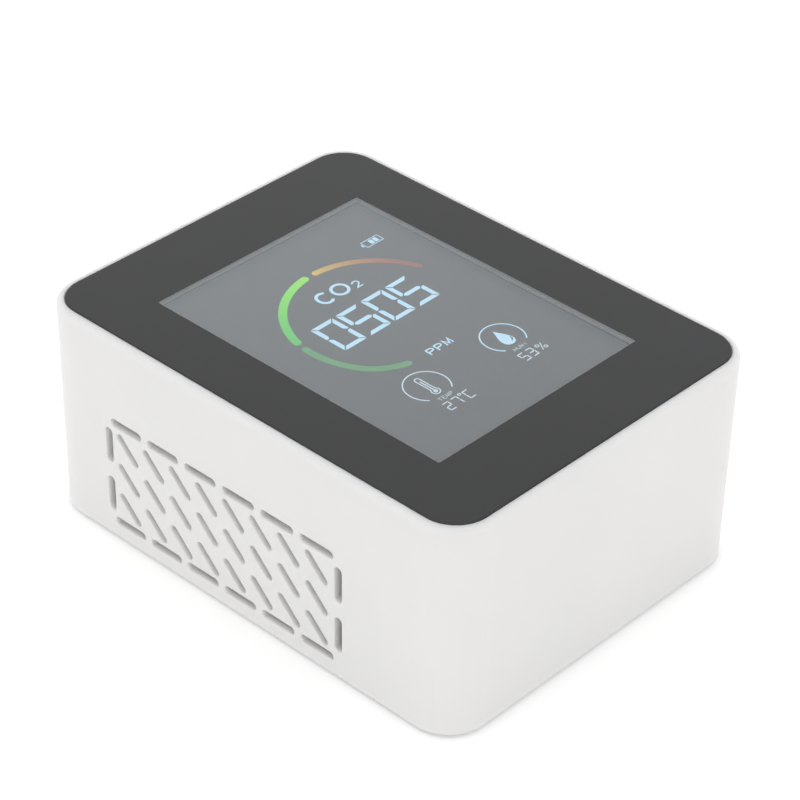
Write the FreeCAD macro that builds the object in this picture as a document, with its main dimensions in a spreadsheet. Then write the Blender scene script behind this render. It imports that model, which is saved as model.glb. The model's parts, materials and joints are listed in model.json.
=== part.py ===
import FreeCAD, Part
import math
import os
import re
import Sketcher

# Desktop air quality monitor: a white plastic box with a glass front over a 3.2 inch display,
# slotted vents in two sides, and a gas sensor, a circuit board and a battery inside.
# It lies on its back. X runs to the display's right, Y to its top and Z out of its glass.
# The origin is on the table, under the middle of the box.

SIZES = (
    # The box
    ("overall_width", 75.3, "across the display, at the rim"),
    ("overall_length", 98.0, "up the display, at the rim"),
    ("body_height", 42.2, "from the box's back edge to its rim"),
    ("draft_angle", 0.6, "lean of the side walls, in degrees, wider at the rim"),
    ("corner_radius", 8.1, "upright corners, at the rim"),
    ("wall", 2.0, "thickness of the side walls at the back"),
    ("rim_width", 1.45, "from the outside of the box to the edge of the glass"),
    ("rim_edge_radius", 1.2, "outer edge of the rim"),
    # Glass, print and tape
    ("glass_gap", 0.1, "clearance round the glass"),
    ("glass_proud", 0.05, "how far the glass stands above the rim"),
    ("glass_thickness", 1.5, "cover glass"),
    ("glass_bevel", 0.25, "polished edge of the glass"),
    ("print_thickness", 0.1, "dark border printed behind the glass"),
    ("print_margin", 0.3, "from the edge of the glass to the print"),
    ("window_side", 0.08, "from the lit area to the clear window in the print, at the sides"),
    ("window_end", 0.35, "from the lit area to the clear window in the print, at the ends"),
    ("window_corner", 0.4, "corners of the window"),
    ("tape_thickness", 0.15, "tape that holds the glass"),
    ("tape_margin", 0.8, "from the edge of the glass to the tape"),
    ("tape_width", 3.4, "from the window to the tape's inner edge"),
    ("deck_thickness", 0.8, "shelf of the box under the glass"),
    ("deck_opening_margin", 1.4, "from the window to the edge of the shelf"),
    ("gasket_margin", 0.35, "from the window to the gasket's inner edge"),
    ("gasket_gap", 0.1, "from the gasket to the shelf"),
    # Display
    ("active_width", 48.6, "lit area"),
    ("active_length", 64.8, "lit area"),
    ("polarizer_margin", 1.0, "polarizer beyond the lit area"),
    ("polarizer_thickness", 0.2, "each polarizer"),
    ("cell_side", 2.2, "display glass beyond the lit area, at the sides"),
    ("cell_end", 2.4, "display glass beyond the lit area, at the ends"),
    ("cell_ledge", 4.6, "rear display glass beyond the front one"),
    ("cell_thickness", 0.7, "each sheet of the display's glass"),
    ("driver_length", 22.0, "display driver chip"),
    ("driver_width", 1.4, "display driver chip"),
    ("driver_height", 0.4, "display driver chip"),
    ("backlight_overhang", 1.0, "backlight frame beyond the display glass"),
    ("backlight_wall", 1.6, "walls of the backlight frame"),
    ("backlight_floor", 0.45, "floor of the backlight frame"),
    ("diffuser_thickness", 0.2, "diffuser film"),
    ("guide_thickness", 1.1, "light guide"),
    ("reflector_thickness", 0.1, "reflector film"),
    ("film_gap", 0.15, "clearance round the films and the light guide"),
    ("lamp_row", 1.5, "room for the row of lamps"),
    ("lamp_length", 3.0, "each lamp"),
    ("lamp_depth", 0.9, "each lamp"),
    ("lamp_pitch", 7.5, "from lamp to lamp"),
    ("lamp_count", 6, "lamps in the backlight"),
    ("flex_width", 20.0, "display's ribbon"),
    ("flex_thickness", 0.1, "display's ribbon"),
    ("flex_overlap", 1.0, "ribbon bonded on the display's ledge"),
    ("flex_straight", 1.6, "ribbon beyond the ledge before it bends"),
    ("flex_lift", 0.6, "ribbon above the circuit board"),
    ("flex_reach", 9.0, "from the ledge's end back to the ribbon's end"),
    ("flex_connector_length", 24.0, "ribbon connector"),
    ("flex_connector_depth", 4.2, "ribbon connector"),
    ("flex_connector_height", 1.6, "ribbon connector"),
    ("pad_width", 40.0, "foam pad behind the display"),
    ("pad_length", 46.0, "foam pad behind the display"),
    # Circuit board
    ("board_gap", 3.55, "from the backlight to the circuit board"),
    ("board_thickness", 1.6, "circuit board"),
    ("board_wall_gap", 1.6, "from the circuit board to the box's wall"),
    ("board_corner", 1.5, "corners of the circuit board"),
    ("board_hole_inset", 2.9, "from the board's edge to its screws"),
    ("board_boss_radius", 2.5, "posts that carry the circuit board"),
    ("board_screw_radius", 1.0, "thread of the board screws"),
    ("board_screw_length", 5.5, "board screws, under the head"),
    ("board_screw_head_radius", 1.9, "head of the board screws"),
    ("board_screw_head_height", 1.3, "head of the board screws"),
    ("screw_clearance", 0.2, "round a screw in the hole it passes through"),
    ("thread_clearance", 0.03, "round a screw's thread in its post"),
    ("hole_spare_depth", 0.8, "hole beyond the end of a screw"),
    # Rear cover
    ("cover_gap", 0.15, "clearance round the rear cover"),
    ("cover_thickness", 2.0, "rear cover"),
    ("boss_inset", 5.6, "from the box's back edge to the corner posts' axes"),
    ("boss_radius", 3.2, "corner posts"),
    ("cover_screw_radius", 1.3, "thread of the rear cover's screws"),
    ("cover_screw_length", 8.0, "rear cover's screws, under the head"),
    ("cover_screw_head_radius", 2.3, "head of the rear cover's screws"),
    ("cover_screw_head_height", 0.9, "head of the rear cover's screws"),
    ("cover_screw_sunk", 0.2, "screw heads below the rear cover's face"),
    ("cross_width", 0.6, "cross recess in a screw"),
    ("cross_share", 0.62, "cross recess over the head's radius"),
    ("foot_proud", 0.8, "how far the rubber feet stand out"),
    ("foot_sunk", 0.4, "how far the rubber feet are sunk"),
    ("foot_radius", 4.0, "rubber feet"),
    ("foot_gap", 0.1, "clearance round a rubber foot"),
    ("foot_edge", 0.3, "rounded edge of a rubber foot"),
    ("foot_from_screw_across", 5.2, "from the cover's screw to the foot, across"),
    ("foot_from_screw_along", 7.8, "from the cover's screw to the foot, along"),
    # Vents
    ("vent_width", 1.6, "level slots and slanted slots"),
    ("vent_length", 7.55, "slots of the top and bottom rows"),
    ("vent_pitch", 9.15, "from slot to slot in the top and bottom rows"),
    ("vent_count", 6, "slots in the top and bottom rows"),
    ("vent_start", -18.2, "centre of the first slot of the rows, along Y"),
    ("vent_back_web", 2.5, "wall left between the box's back edge and the bottom row"),
    ("vent_button_web", 2.0, "wall left between the top row and the button"),
    ("end_vent_width", 1.7, "upright slots at the ends"),
    ("end_vent_start", -23.1, "first upright slots, along Y"),
    ("end_vent_span", 55.1, "from the first upright slots to the last"),
    ("end_vent_web", 3.3, "wall left between two upright slots"),
    ("end_vent_web_below", 1.1, "wall left between the bottom row and the upright slots"),
    ("end_vent_web_above", 0.95, "wall left between the upright slots and the top row"),
    ("slant_angle", 45.0, "lean of the slanted slots, in degrees"),
    ("slant_start", -18.1, "first slanted slots, along Y"),
    ("slant_pitch", 6.5, "from one slanted slot to the next"),
    ("slant_count", 8, "slanted slots in a row"),
    ("slant_rows", 3, "rows of slanted slots"),
    ("slant_web", 1.2, "wall left between the rows of slanted slots"),
    ("slant_web_below", 0.7, "wall left between the bottom row and the slanted slots"),
    ("slant_web_above", 1.05, "wall left between the slanted slots and the top row"),
    ("vent_edge_radius", 0.25, "softened edges of all the side openings"),
    # USB socket
    ("socket_width", 8.94, "USB-C socket's shell"),
    ("socket_height", 3.16, "USB-C socket's shell"),
    ("socket_length", 7.3, "USB-C socket's shell"),
    ("socket_corner", 1.5, "USB-C socket's shell"),
    ("socket_wall", 0.3, "USB-C socket's shell"),
    ("socket_inset", 0.5, "from the outside of the box to the socket's mouth"),
    ("socket_hole_gap", 0.3, "clearance round the socket in the wall"),
    ("socket_along", 0.0, "socket's place along Y"),
    ("tongue_width", 6.69, "tongue of the socket"),
    ("tongue_thickness", 0.7, "tongue of the socket"),
    ("tongue_block", 1.9, "solid block behind the tongue"),
    ("tongue_inset", 0.7, "tongue's tip behind the socket's mouth"),
    ("contact_pitch", 0.5, "from contact to contact"),
    ("contact_width", 0.25, "each contact"),
    ("contact_length", 3.2, "each contact"),
    ("contact_thickness", 0.04, "each contact"),
    ("contact_count", 12, "contacts on each face of the tongue"),
    # Power button and its switch
    ("button_along", 24.0, "button's place along Y"),
    ("button_width", 8.0, "button's face, along Y"),
    ("button_height", 3.6, "button's face, upright"),
    ("button_corner", 1.75, "ends of the button's face"),
    ("button_proud", 0.5, "how far the button stands out"),
    ("button_gap", 0.15, "clearance round the button in the wall"),
    ("button_edge", 0.3, "rounded edge of the button"),
    ("button_travel", 0.4, "how far the button is pressed"),
    ("flange_margin", 0.9, "button's flange beyond its face, along Y"),
    ("flange_thickness", 0.8, "button's flange behind the wall"),
    ("running_gap", 0.05, "between pieces that slide or touch by turns"),
    ("button_post_radius", 1.1, "post behind the button"),
    ("switch_width", 6.0, "switch, along Y"),
    ("switch_height", 3.4, "switch, upright"),
    ("switch_depth", 3.0, "switch, without its plunger"),
    ("switch_bore_radius", 1.45, "hollow in the switch"),
    ("switch_bore_depth", 1.8, "hollow in the switch"),
    ("switch_cover_thickness", 0.3, "metal plate on the switch"),
    ("plunger_radius", 0.9, "plunger of the switch"),
    ("plunger_flange_radius", 1.35, "plunger's flange in the switch"),
    ("plunger_flange_thickness", 0.7, "plunger's flange in the switch"),
    ("plunger_proud", 0.9, "plunger in front of the switch's plate"),
    ("dome_thickness", 0.1, "click dome"),
    # Gas sensor
    ("sensor_centre_across", -19.5, "gas sensor's middle, across"),
    ("sensor_centre_along", 0.0, "gas sensor's middle, along"),
    ("sensor_width", 20.0, "gas sensor's board, across"),
    ("sensor_length", 34.0, "gas sensor's board, along"),
    ("sensor_board_thickness", 1.2, "gas sensor's board"),
    ("sensor_drop", 1.5, "from the main board to the gas sensor's board"),
    ("sensor_margin", 2.2, "gas sensor's board beyond its chamber"),
    ("sensor_pin_room", 5.0, "gas sensor's board left for its pins"),
    ("chamber_height", 7.5, "gas sensor's chamber"),
    ("chamber_edge", 0.8, "rounded edges of the chamber"),
    ("membrane_width", 10.0, "gas sensor's filter"),
    ("membrane_length", 16.0, "gas sensor's filter"),
    ("membrane_thickness", 0.3, "gas sensor's filter"),
    ("pin_radius", 0.32, "gas sensor's pins"),
    ("pin_pitch", 2.54, "from pin to pin"),
    ("pin_count", 5, "gas sensor's pins in each row"),
    # Battery
    ("cell_pack_width", 34.0, "battery, across"),
    ("cell_pack_length", 50.0, "battery, along"),
    ("cell_pack_height", 6.0, "battery"),
    ("cell_pack_edge", 1.2, "rounded edges of the battery"),
    ("cell_tape_thickness", 0.2, "tape under the battery"),
    ("cell_tape_inset", 4.0, "from the battery's edge to its tape"),
    ("rib_gap", 0.4, "from the battery to the ribs beside it"),
    ("rib_thickness", 1.2, "ribs beside the battery"),
    ("rib_height", 3.2, "ribs beside the battery"),
    ("guard_width", 26.0, "battery's protection board"),
    ("guard_thickness", 0.8, "battery's protection board"),
    ("guard_inset", 0.5, "from the battery's edges to its protection board"),
    ("wire_radius", 0.6, "battery wires"),
    ("wire_spacing", 2.0, "between the battery wires"),
    ("wire_bend", 2.5, "bends in the battery wires"),
    ("wire_clear", 4.0, "from the plug to the wires' upright run"),
    ("plug_socket_width", 6.0, "battery socket, across"),
    ("plug_socket_depth", 4.5, "battery socket, along"),
    ("plug_socket_height", 4.2, "battery socket"),
    ("plug_socket_back", 6.8, "from the board's lower edge to the battery socket"),
    ("plug_width", 5.0, "battery plug, across"),
    ("plug_depth", 3.2, "battery plug, along"),
    ("plug_height", 3.0, "battery plug"),
    # Chips under the circuit board
    ("controller_side", 10.0, "microcontroller"),
    ("controller_height", 1.0, "microcontroller"),
    ("controller_across", 12.0, "microcontroller's place, across"),
    ("controller_along", 12.0, "microcontroller's place, along"),
    ("charger_side", 4.0, "charging chip"),
    ("charger_height", 0.9, "charging chip"),
    ("charger_across", 20.0, "charging chip's place, across"),
    ("charger_along", -10.0, "charging chip's place, along"),
    ("inductor_side", 5.0, "power inductor"),
    ("inductor_height", 3.0, "power inductor"),
    ("inductor_across", 13.0, "power inductor's place, across"),
    ("inductor_along", -11.0, "power inductor's place, along"),
    ("climate_side", 3.0, "temperature and humidity sensor"),
    ("climate_height", 1.0, "temperature and humidity sensor"),
    ("climate_across", -27.0, "temperature and humidity sensor's place, across"),
    ("climate_along", 24.0, "temperature and humidity sensor's place, along"),
    ("capacitor_length", 2.0, "chip capacitors, across"),
    ("capacitor_width", 1.2, "chip capacitors, along"),
    ("capacitor_height", 0.9, "chip capacitors"),
    ("buzzer_radius", 6.0, "buzzer"),
    ("buzzer_height", 5.4, "buzzer"),
    ("buzzer_hole_radius", 1.0, "hole in the buzzer's face"),
    ("buzzer_hole_depth", 1.5, "hole in the buzzer's face"),
    ("buzzer_across", 15.0, "buzzer's place, across"),
    ("buzzer_along", -24.0, "buzzer's place, along"),
)

doc = FreeCAD.newDocument("air_quality_monitor")
sheet = doc.addObject("Spreadsheet::Sheet", "Sizes")
for row, (size_name, size, meaning) in enumerate(SIZES, start=1):
    sheet.set(f"A{row}", size_name)
    sheet.set(f"B{row}", str(size))
    sheet.set(f"C{row}", meaning)
    sheet.setAlias(f"B{row}", size_name)
doc.recompute()

SIZE_NAMES = {size_name for size_name, size, meaning in SIZES}
nodes = []


# Expressions. A size's name stands alone in this file, and with_sheet puts the sheet in front.

def with_sheet(expression):
    """An expression with the sheet named in front of each size that it uses."""
    return re.sub(r"[a-z][a-z_]*", lambda word: f"Sizes.{word[0]}" if word[0] in SIZE_NAMES else word[0],
                  expression)


def value(expression):
    """What an expression comes to, in millimetres."""
    return float(sheet.evalExpression(with_sheet(expression)))


def bind(item, path, expression):
    """Tie one property of an object to an expression."""
    item.setExpression(path, with_sheet(expression))


def between(half):
    """The pair of places that lie the same way either side of zero."""
    return (f"-({half})", f"({half})")


def about(centre, width):
    """The pair of places that lie half a width either side of a centre."""
    return (f"({centre} - ({width}) / 2)", f"({centre} + ({width}) / 2)")


# Sketches and PartDesign features

def new_body(name):
    body = doc.addObject("PartDesign::Body", name)
    body.Label = name
    nodes.append(body)
    return body


def new_sketch(body, name, role="XY_Plane", offset="0"):
    """A sketch on one of the body's own planes, moved along that plane's normal."""
    sketch = body.newObject("Sketcher::SketchObject", name)
    plane = next(item for item in body.Origin.OriginFeatures if item.Role == role)
    sketch.AttachmentSupport = [(plane, "")]
    sketch.MapMode = "FlatFace"
    bind(sketch, "AttachmentOffset.Base.z", offset)
    return sketch


def constrain(sketch, kind, *places):
    sketch.addConstraint(Sketcher.Constraint(kind, *places))


def measure(sketch, kind, places, expression):
    """A dimension in a sketch, tied to an expression."""
    index = sketch.addConstraint(Sketcher.Constraint(kind, *places, value(expression)))
    bind(sketch, f"Constraints[{index}]", expression)


def rectangle(sketch, across, along, radius):
    """A rectangle with round corners between two pairs of places."""
    low_u, high_u = value(across[0]), value(across[1])
    low_v, high_v = value(along[0]), value(along[1])
    bend = value(radius)
    corners = ((high_u - bend, low_v + bend, 270), (high_u - bend, high_v - bend, 0),
               (low_u + bend, high_v - bend, 90), (low_u + bend, low_v + bend, 180))
    sides = ((low_u + bend, low_v, high_u - bend, low_v), (high_u, low_v + bend, high_u, high_v - bend),
             (high_u - bend, high_v, low_u + bend, high_v), (low_u, high_v - bend, low_u, low_v + bend))
    pieces = []
    for (start_u, start_v, end_u, end_v), (centre_u, centre_v, start) in zip(sides, corners):
        line = Part.LineSegment(FreeCAD.Vector(start_u, start_v, 0), FreeCAD.Vector(end_u, end_v, 0))
        circle = Part.Circle(FreeCAD.Vector(centre_u, centre_v, 0), FreeCAD.Vector(0, 0, 1), bend)
        arc = Part.ArcOfCircle(circle, math.radians(start), math.radians(start + 90))
        pieces += [sketch.addGeometry(line, False), sketch.addGeometry(arc, False)]
    for piece, following in zip(pieces, pieces[1:] + pieces[:1]):
        constrain(sketch, "Tangent", piece, 2, following, 1)
    for side, kind in zip(pieces[::2], ("Horizontal", "Vertical", "Horizontal", "Vertical")):
        constrain(sketch, kind, side)
    for arc in pieces[3::2]:
        constrain(sketch, "Equal", pieces[1], arc)
    measure(sketch, "Radius", (pieces[1],), radius)
    measure(sketch, "DistanceX", (-1, 1, pieces[6], 1), across[0])
    measure(sketch, "DistanceX", (-1, 1, pieces[2], 1), across[1])
    measure(sketch, "DistanceY", (-1, 1, pieces[0], 1), along[0])
    measure(sketch, "DistanceY", (-1, 1, pieces[4], 1), along[1])


def ring(sketch, centre, radius):
    """A circle about a pair of places."""
    place = FreeCAD.Vector(value(centre[0]), value(centre[1]), 0)
    circle = sketch.addGeometry(Part.Circle(place, FreeCAD.Vector(0, 0, 1), value(radius)), False)
    measure(sketch, "Radius", (circle,), radius)
    measure(sketch, "DistanceX", (-1, 1, circle, 3), centre[0])
    measure(sketch, "DistanceY", (-1, 1, circle, 3), centre[1])


def slot(sketch, centre, length, width, lean="0"):
    """A round-ended slot, its long way turned by lean degrees from the sketch's first axis."""
    reach = f"(({length}) - ({width})) / 2"
    ends = [(f"{centre[0]} {sign} {reach} * cos({lean})", f"{centre[1]} {sign} {reach} * sin({lean})")
            for sign in "+-"]
    radius = value(width) / 2
    turn = math.radians(value(lean))
    side = FreeCAD.Vector(-math.sin(turn), math.cos(turn), 0) * radius
    far, near = [FreeCAD.Vector(value(u), value(v), 0) for u, v in ends]
    up = FreeCAD.Vector(0, 0, 1)
    half_turn = math.pi / 2
    shapes = (Part.ArcOfCircle(Part.Circle(far, up, radius), turn - half_turn, turn + half_turn),
              Part.LineSegment(far + side, near + side),
              Part.ArcOfCircle(Part.Circle(near, up, radius), turn + half_turn, turn + 3 * half_turn),
              Part.LineSegment(near - side, far - side))
    pieces = [sketch.addGeometry(shape, False) for shape in shapes]
    for piece, following in zip(pieces, pieces[1:] + pieces[:1]):
        constrain(sketch, "Tangent", piece, 2, following, 1)
    constrain(sketch, "Equal", pieces[0], pieces[2])
    measure(sketch, "Radius", (pieces[0],), f"({width}) / 2")
    for arc, (u, v) in zip(pieces[::2], ends):
        measure(sketch, "DistanceX", (-1, 1, arc, 3), u)
        measure(sketch, "DistanceY", (-1, 1, arc, 3), v)


def pad(body, sketch, length, backwards=False):
    """Material grown from a sketch, along its normal or backwards."""
    feature = body.newObject("PartDesign::Pad", f"{sketch.Name}_pad")
    feature.Profile = sketch
    feature.Reversed = backwards
    bind(feature, "Length", length)
    doc.recompute()
    return feature


def pocket(body, sketch, length, along_normal=False):
    """Material cut away from a sketch, against its normal or along it."""
    before = body.Tip.Shape.Volume
    feature = body.newObject("PartDesign::Pocket", f"{sketch.Name}_pocket")
    feature.Profile = sketch
    feature.Reversed = along_normal
    bind(feature, "Length", length)
    doc.recompute()
    if feature.Shape.Volume >= before:
        raise RuntimeError(f"{feature.Name} cuts nothing")
    return feature


def soften(body, kind, edges, size):
    """Round ("Fillet") or bevel ("Chamfer") some edges of the body's last feature."""
    last = body.Tip
    feature = body.newObject(f"PartDesign::{kind}", f"{body.Name}_{kind.lower()}_{len(body.Group)}")
    feature.Base = (last, edges)
    bind(feature, "Radius" if kind == "Fillet" else "Size", size)
    doc.recompute()
    return feature


def edges_where(shape, wanted):
    """Names of the edges whose every vertex passes a test."""
    return [f"Edge{number}" for number, edge in enumerate(shape.Edges, start=1)
            if all(wanted(vertex.Point) for vertex in edge.Vertexes)]


def plate(name, across, along, height, corner, hole=None):
    """A flat piece between two heights, with round corners and perhaps a hole."""
    body = new_body(name)
    sketch = new_sketch(body, f"{name}_outline", offset=height[0])
    rectangle(sketch, across, along, corner)
    if hole:
        rectangle(sketch, *hole)
    pad(body, sketch, f"({height[1]}) - ({height[0]})")
    return body


# Part primitives

def place(item, position):
    for letter, expression in zip("xyz", position):
        bind(item, f"Placement.Base.{letter}", expression)


def block(name, across, along, height):
    """A box between three pairs of places."""
    item = doc.addObject("Part::Box", name)
    for size_property, (low, high) in zip(("Length", "Width", "Height"), (across, along, height)):
        bind(item, size_property, f"({high}) - ({low})")
    place(item, (across[0], along[0], height[0]))
    return item


def round_bar(name, position, radius, length, axis="z"):
    """A cylinder that starts at a position and runs along +X or +Z."""
    item = doc.addObject("Part::Cylinder", name)
    if axis == "x":
        item.Placement = FreeCAD.Placement(FreeCAD.Vector(), FreeCAD.Rotation(FreeCAD.Vector(0, 1, 0), 90))
    bind(item, "Radius", radius)
    bind(item, "Height", length)
    place(item, position)
    return item


def joined(name, *items):
    fusion = doc.addObject("Part::MultiFuse", name)
    fusion.Shapes = list(items)
    return fusion


def without(name, base, tool):
    difference = doc.addObject("Part::Cut", name)
    difference.Base = base
    difference.Tool = tool
    return difference


def rounded(name, base, radius, wanted):
    """An object with the edges whose every vertex passes a test rounded."""
    doc.recompute()
    fillet = doc.addObject("Part::Fillet", name)
    fillet.Base = base
    size = value(radius)
    fillet.Edges = [(int(edge[4:]), size, size) for edge in edges_where(base.Shape, wanted)]
    return fillet


def group(name, items):
    """Separate solids that make up one node."""
    compound = doc.addObject("Part::Compound", name)
    compound.Links = list(items)
    return compound


def in_four_corners(name, item):
    """An object and its mirror images across X = 0 and Y = 0."""
    across = doc.addObject("Part::Mirroring", f"{item.Name}_across")
    across.Source = item
    across.Normal = FreeCAD.Vector(1, 0, 0)
    pair = group(f"{item.Name}_pair", (item, across))
    along = doc.addObject("Part::Mirroring", f"{item.Name}_along")
    along.Source = pair
    along.Normal = FreeCAD.Vector(0, 1, 0)
    return group(name, (pair, along))


def as_node(item):
    item.Label = item.Name
    nodes.append(item)
    return item


# Heights, from the table up to the glass

box_back = "foot_proud"
cover_top = "(foot_proud + cover_thickness)"
rim_top = "(foot_proud + body_height)"
glass_top = f"({rim_top} + glass_proud)"
glass_back = f"({glass_top} - glass_thickness)"
print_back = f"({glass_back} - print_thickness)"
deck_top = f"({print_back} - tape_thickness)"
deck_back = f"({deck_top} - deck_thickness)"
front_cell_back = f"({deck_back} - cell_thickness)"
rear_cell_back = f"({front_cell_back} - cell_thickness)"
rear_polarizer_back = f"({rear_cell_back} - polarizer_thickness)"
diffuser_back = f"({rear_polarizer_back} - diffuser_thickness)"
guide_back = f"({diffuser_back} - guide_thickness)"
reflector_back = f"({guide_back} - reflector_thickness)"
backlight_back = f"({reflector_back} - backlight_floor)"
board_top = f"({backlight_back} - board_gap)"
board_back = f"({board_top} - board_thickness)"
socket_centre = f"({board_back} - socket_height / 2)"
switch_centre = f"({board_back} - switch_height / 2)"

# Half-sizes and places, from the middle outwards

back_inset = "(body_height * tan(draft_angle))"
inner_half_width = f"(overall_width / 2 - {back_inset} - wall)"
inner_half_length = f"(overall_length / 2 - {back_inset} - wall)"
inner_corner = f"(corner_radius - {back_inset} - wall)"
glass_half_width = "(overall_width / 2 - rim_width)"
glass_half_length = "(overall_length / 2 - rim_width)"
glass_corner = "(corner_radius - rim_width)"
boss_across = f"(overall_width / 2 - {back_inset} - boss_inset)"
boss_along = f"(overall_length / 2 - {back_inset} - boss_inset)"
board_half_width = f"({inner_half_width} - board_wall_gap)"
board_half_length = f"({boss_along} - boss_radius - board_wall_gap)"
board_screw_across = f"({board_half_width} - board_hole_inset)"
board_screw_along = f"({board_half_length} - board_hole_inset)"
window_half_width = "(active_width / 2 + window_side)"
window_half_length = "(active_length / 2 + window_end)"
cell_half_width = "(active_width / 2 + cell_side)"
cell_half_length = "(active_length / 2 + cell_end)"
ledge_end = f"(-({cell_half_length}) - cell_ledge)"


def wall_face(height):
    """Half the width of the box's outside at a height, where its walls lean outwards."""
    return f"(overall_width / 2 - ({rim_top} - ({height})) * tan(draft_angle))"


def outline(inset, corner="corner_radius"):
    """The box's outline at the rim, drawn in by an inset."""
    return (between(f"overall_width / 2 - ({inset})"), between(f"overall_length / 2 - ({inset})"), corner)


# The box

def box_shell(body):
    """The outside, its rounded rim, the seat for the glass and the hollow for the works."""
    outside = new_sketch(body, "outside", offset=rim_top)
    rectangle(outside, *outline("0"))
    shell = pad(body, outside, "body_height", backwards=True)
    bind(shell, "TaperAngle", "-draft_angle")
    doc.recompute()
    top = value(rim_top)
    soften(body, "Fillet", edges_where(body.Tip.Shape, lambda point: abs(point.z - top) < 1e-6),
           "rim_edge_radius")
    seat = new_sketch(body, "glass_seat", offset=rim_top)
    rectangle(seat, *outline("rim_width - glass_gap", f"({glass_corner} + glass_gap)"))
    pocket(body, seat, f"{rim_top} - {deck_top}")
    hollow = new_sketch(body, "hollow", offset=box_back)
    rectangle(hollow, between(inner_half_width), between(inner_half_length), inner_corner)
    pocket(body, hollow, f"{deck_back} - {box_back}", along_normal=True)
    opening = new_sketch(body, "display_opening", offset=deck_top)
    rectangle(opening, between(f"{window_half_width} + deck_opening_margin"),
              between(f"{window_half_length} + deck_opening_margin"), "window_corner")
    pocket(body, opening, "deck_thickness")


def box_posts(body):
    """Posts under the shelf: long ones for the rear cover, short ones for the circuit board."""
    for name, across, along, radius, reach, hole, depth in (
            ("cover_posts", boss_across, boss_along, "boss_radius", cover_top,
             "cover_screw_radius + thread_clearance",
             "cover_screw_length - cover_thickness + cover_screw_sunk + cover_screw_head_height"
             " + hole_spare_depth"),
            ("board_posts", board_screw_across, board_screw_along, "board_boss_radius", board_top,
             "board_screw_radius + thread_clearance",
             "board_screw_length - board_thickness + hole_spare_depth")):
        corners = [(f"{sign_across}{across}", f"{sign_along}{along}")
                   for sign_across in ("", "-") for sign_along in ("", "-")]
        posts = new_sketch(body, name, offset=deck_back)
        for corner in corners:
            ring(posts, corner, radius)
        pad(body, posts, f"{deck_back} - {reach}", backwards=True)
        holes = new_sketch(body, f"{name}_holes", offset=reach)
        for corner in corners:
            ring(holes, corner, hole)
        pocket(body, holes, depth, along_normal=True)


def repeat(body, cut, sketch, across, along):
    """Copies of a cut along both axes of its sketch: pairs of a pitch and a count."""
    before = cut.BaseFeature.Shape.Volume
    pattern = body.newObject("PartDesign::LinearPattern", f"{sketch.Name}_pattern")
    pattern.Originals = [cut]
    pattern.Direction = (sketch, ["H_Axis"])
    pattern.Direction2 = (sketch, ["V_Axis"])
    pattern.Mode = "Spacing"
    pattern.Mode2 = "Spacing"
    body.Tip = pattern
    doc.recompute()
    bind(pattern, "Offset", across[0])
    bind(pattern, "Occurrences", across[1])
    bind(pattern, "Offset2", along[0])
    bind(pattern, "Occurrences2", along[1])
    doc.recompute()
    cuts = (before - pattern.Shape.Volume) / (before - cut.Shape.Volume)
    if cuts < value(across[1]) * value(along[1]) - 0.5:
        raise RuntimeError(f"{pattern.Name} makes only {cuts:.1f} cuts")


def box_vents(body):
    """Slots through both side walls: two level rows, upright pairs at the ends, slanted ones between."""
    bottom = f"({box_back} + vent_back_web + vent_width / 2)"
    top = f"({switch_centre} - button_height / 2 - button_gap - vent_button_web - vent_width / 2)"
    field = f"({top} - {bottom} - vent_width)"
    upright = f"(({field} - end_vent_web - end_vent_web_below - end_vent_web_above) / 2)"
    upright_low = f"({bottom} + vent_width / 2 + end_vent_web_below + {upright} / 2)"
    rise = (f"(({field} - slant_web_below - slant_web_above - (slant_rows - 1) * slant_web)"
            f" / slant_rows)")
    slant_low = f"({bottom} + vent_width / 2 + slant_web_below + {rise} / 2)"
    slanted = f"(({rise} - vent_width) / sin(slant_angle) + vent_width)"
    for name, centre, length, width, lean, across, along in (
            ("level_vents", ("vent_start", bottom), "vent_length", "vent_width", "0",
             ("vent_pitch", "vent_count"), (f"{top} - {bottom}", "2")),
            ("end_vents", ("end_vent_start", upright_low), upright, "end_vent_width", "90",
             ("end_vent_span", "2"), (f"{upright} + end_vent_web", "2")),
            ("slanted_vents", ("slant_start", slant_low), slanted, "vent_width", "slant_angle",
             ("slant_pitch", "slant_count"), (f"{rise} + slant_web", "slant_rows"))):
        sketch = new_sketch(body, name, role="YZ_Plane")
        slot(sketch, centre, length, width, lean)
        cut = pocket(body, sketch, "overall_width")
        cut.SideType = "Symmetric"
        doc.recompute()
        repeat(body, cut, sketch, across, along)


def box_side_holes(body):
    """The holes for the USB socket and the power button, in the +X wall."""
    socket_hole = new_sketch(body, "socket_hole", role="YZ_Plane")
    rectangle(socket_hole, about("socket_along", "socket_width + 2 * socket_hole_gap"),
              about(socket_centre, "socket_height + 2 * socket_hole_gap"),
              "(socket_corner + socket_hole_gap)")
    pocket(body, socket_hole, "overall_width", along_normal=True)
    button_hole = new_sketch(body, "button_hole", role="YZ_Plane")
    rectangle(button_hole, about("button_along", "button_width + 2 * button_gap"),
              about(switch_centre, "button_height + 2 * button_gap"), "(button_corner + button_gap)")
    pocket(body, button_hole, "overall_width", along_normal=True)


def soften_side_openings(body):
    """Round the outer edges of every opening in the two vented walls."""
    shape = body.Tip.Shape
    outer_faces = [face for face in shape.Faces
                   if abs(face.normalAt(0, 0).x) > 0.999
                   and abs(face.CenterOfMass.x) > value(f"{inner_half_width} + wall / 2")
                   and len(face.Wires) > 1]
    rims = [edge for face in outer_faces for wire in face.Wires if not wire.isSame(face.OuterWire)
            for edge in wire.Edges]
    names = [f"Edge{number}" for number, edge in enumerate(shape.Edges, start=1)
             if any(edge.isSame(rim) for rim in rims)]
    soften(body, "Fillet", names, "vent_edge_radius")


housing = new_body("housing")
box_shell(housing)
box_posts(housing)
box_vents(housing)
box_side_holes(housing)
soften_side_openings(housing)


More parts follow.
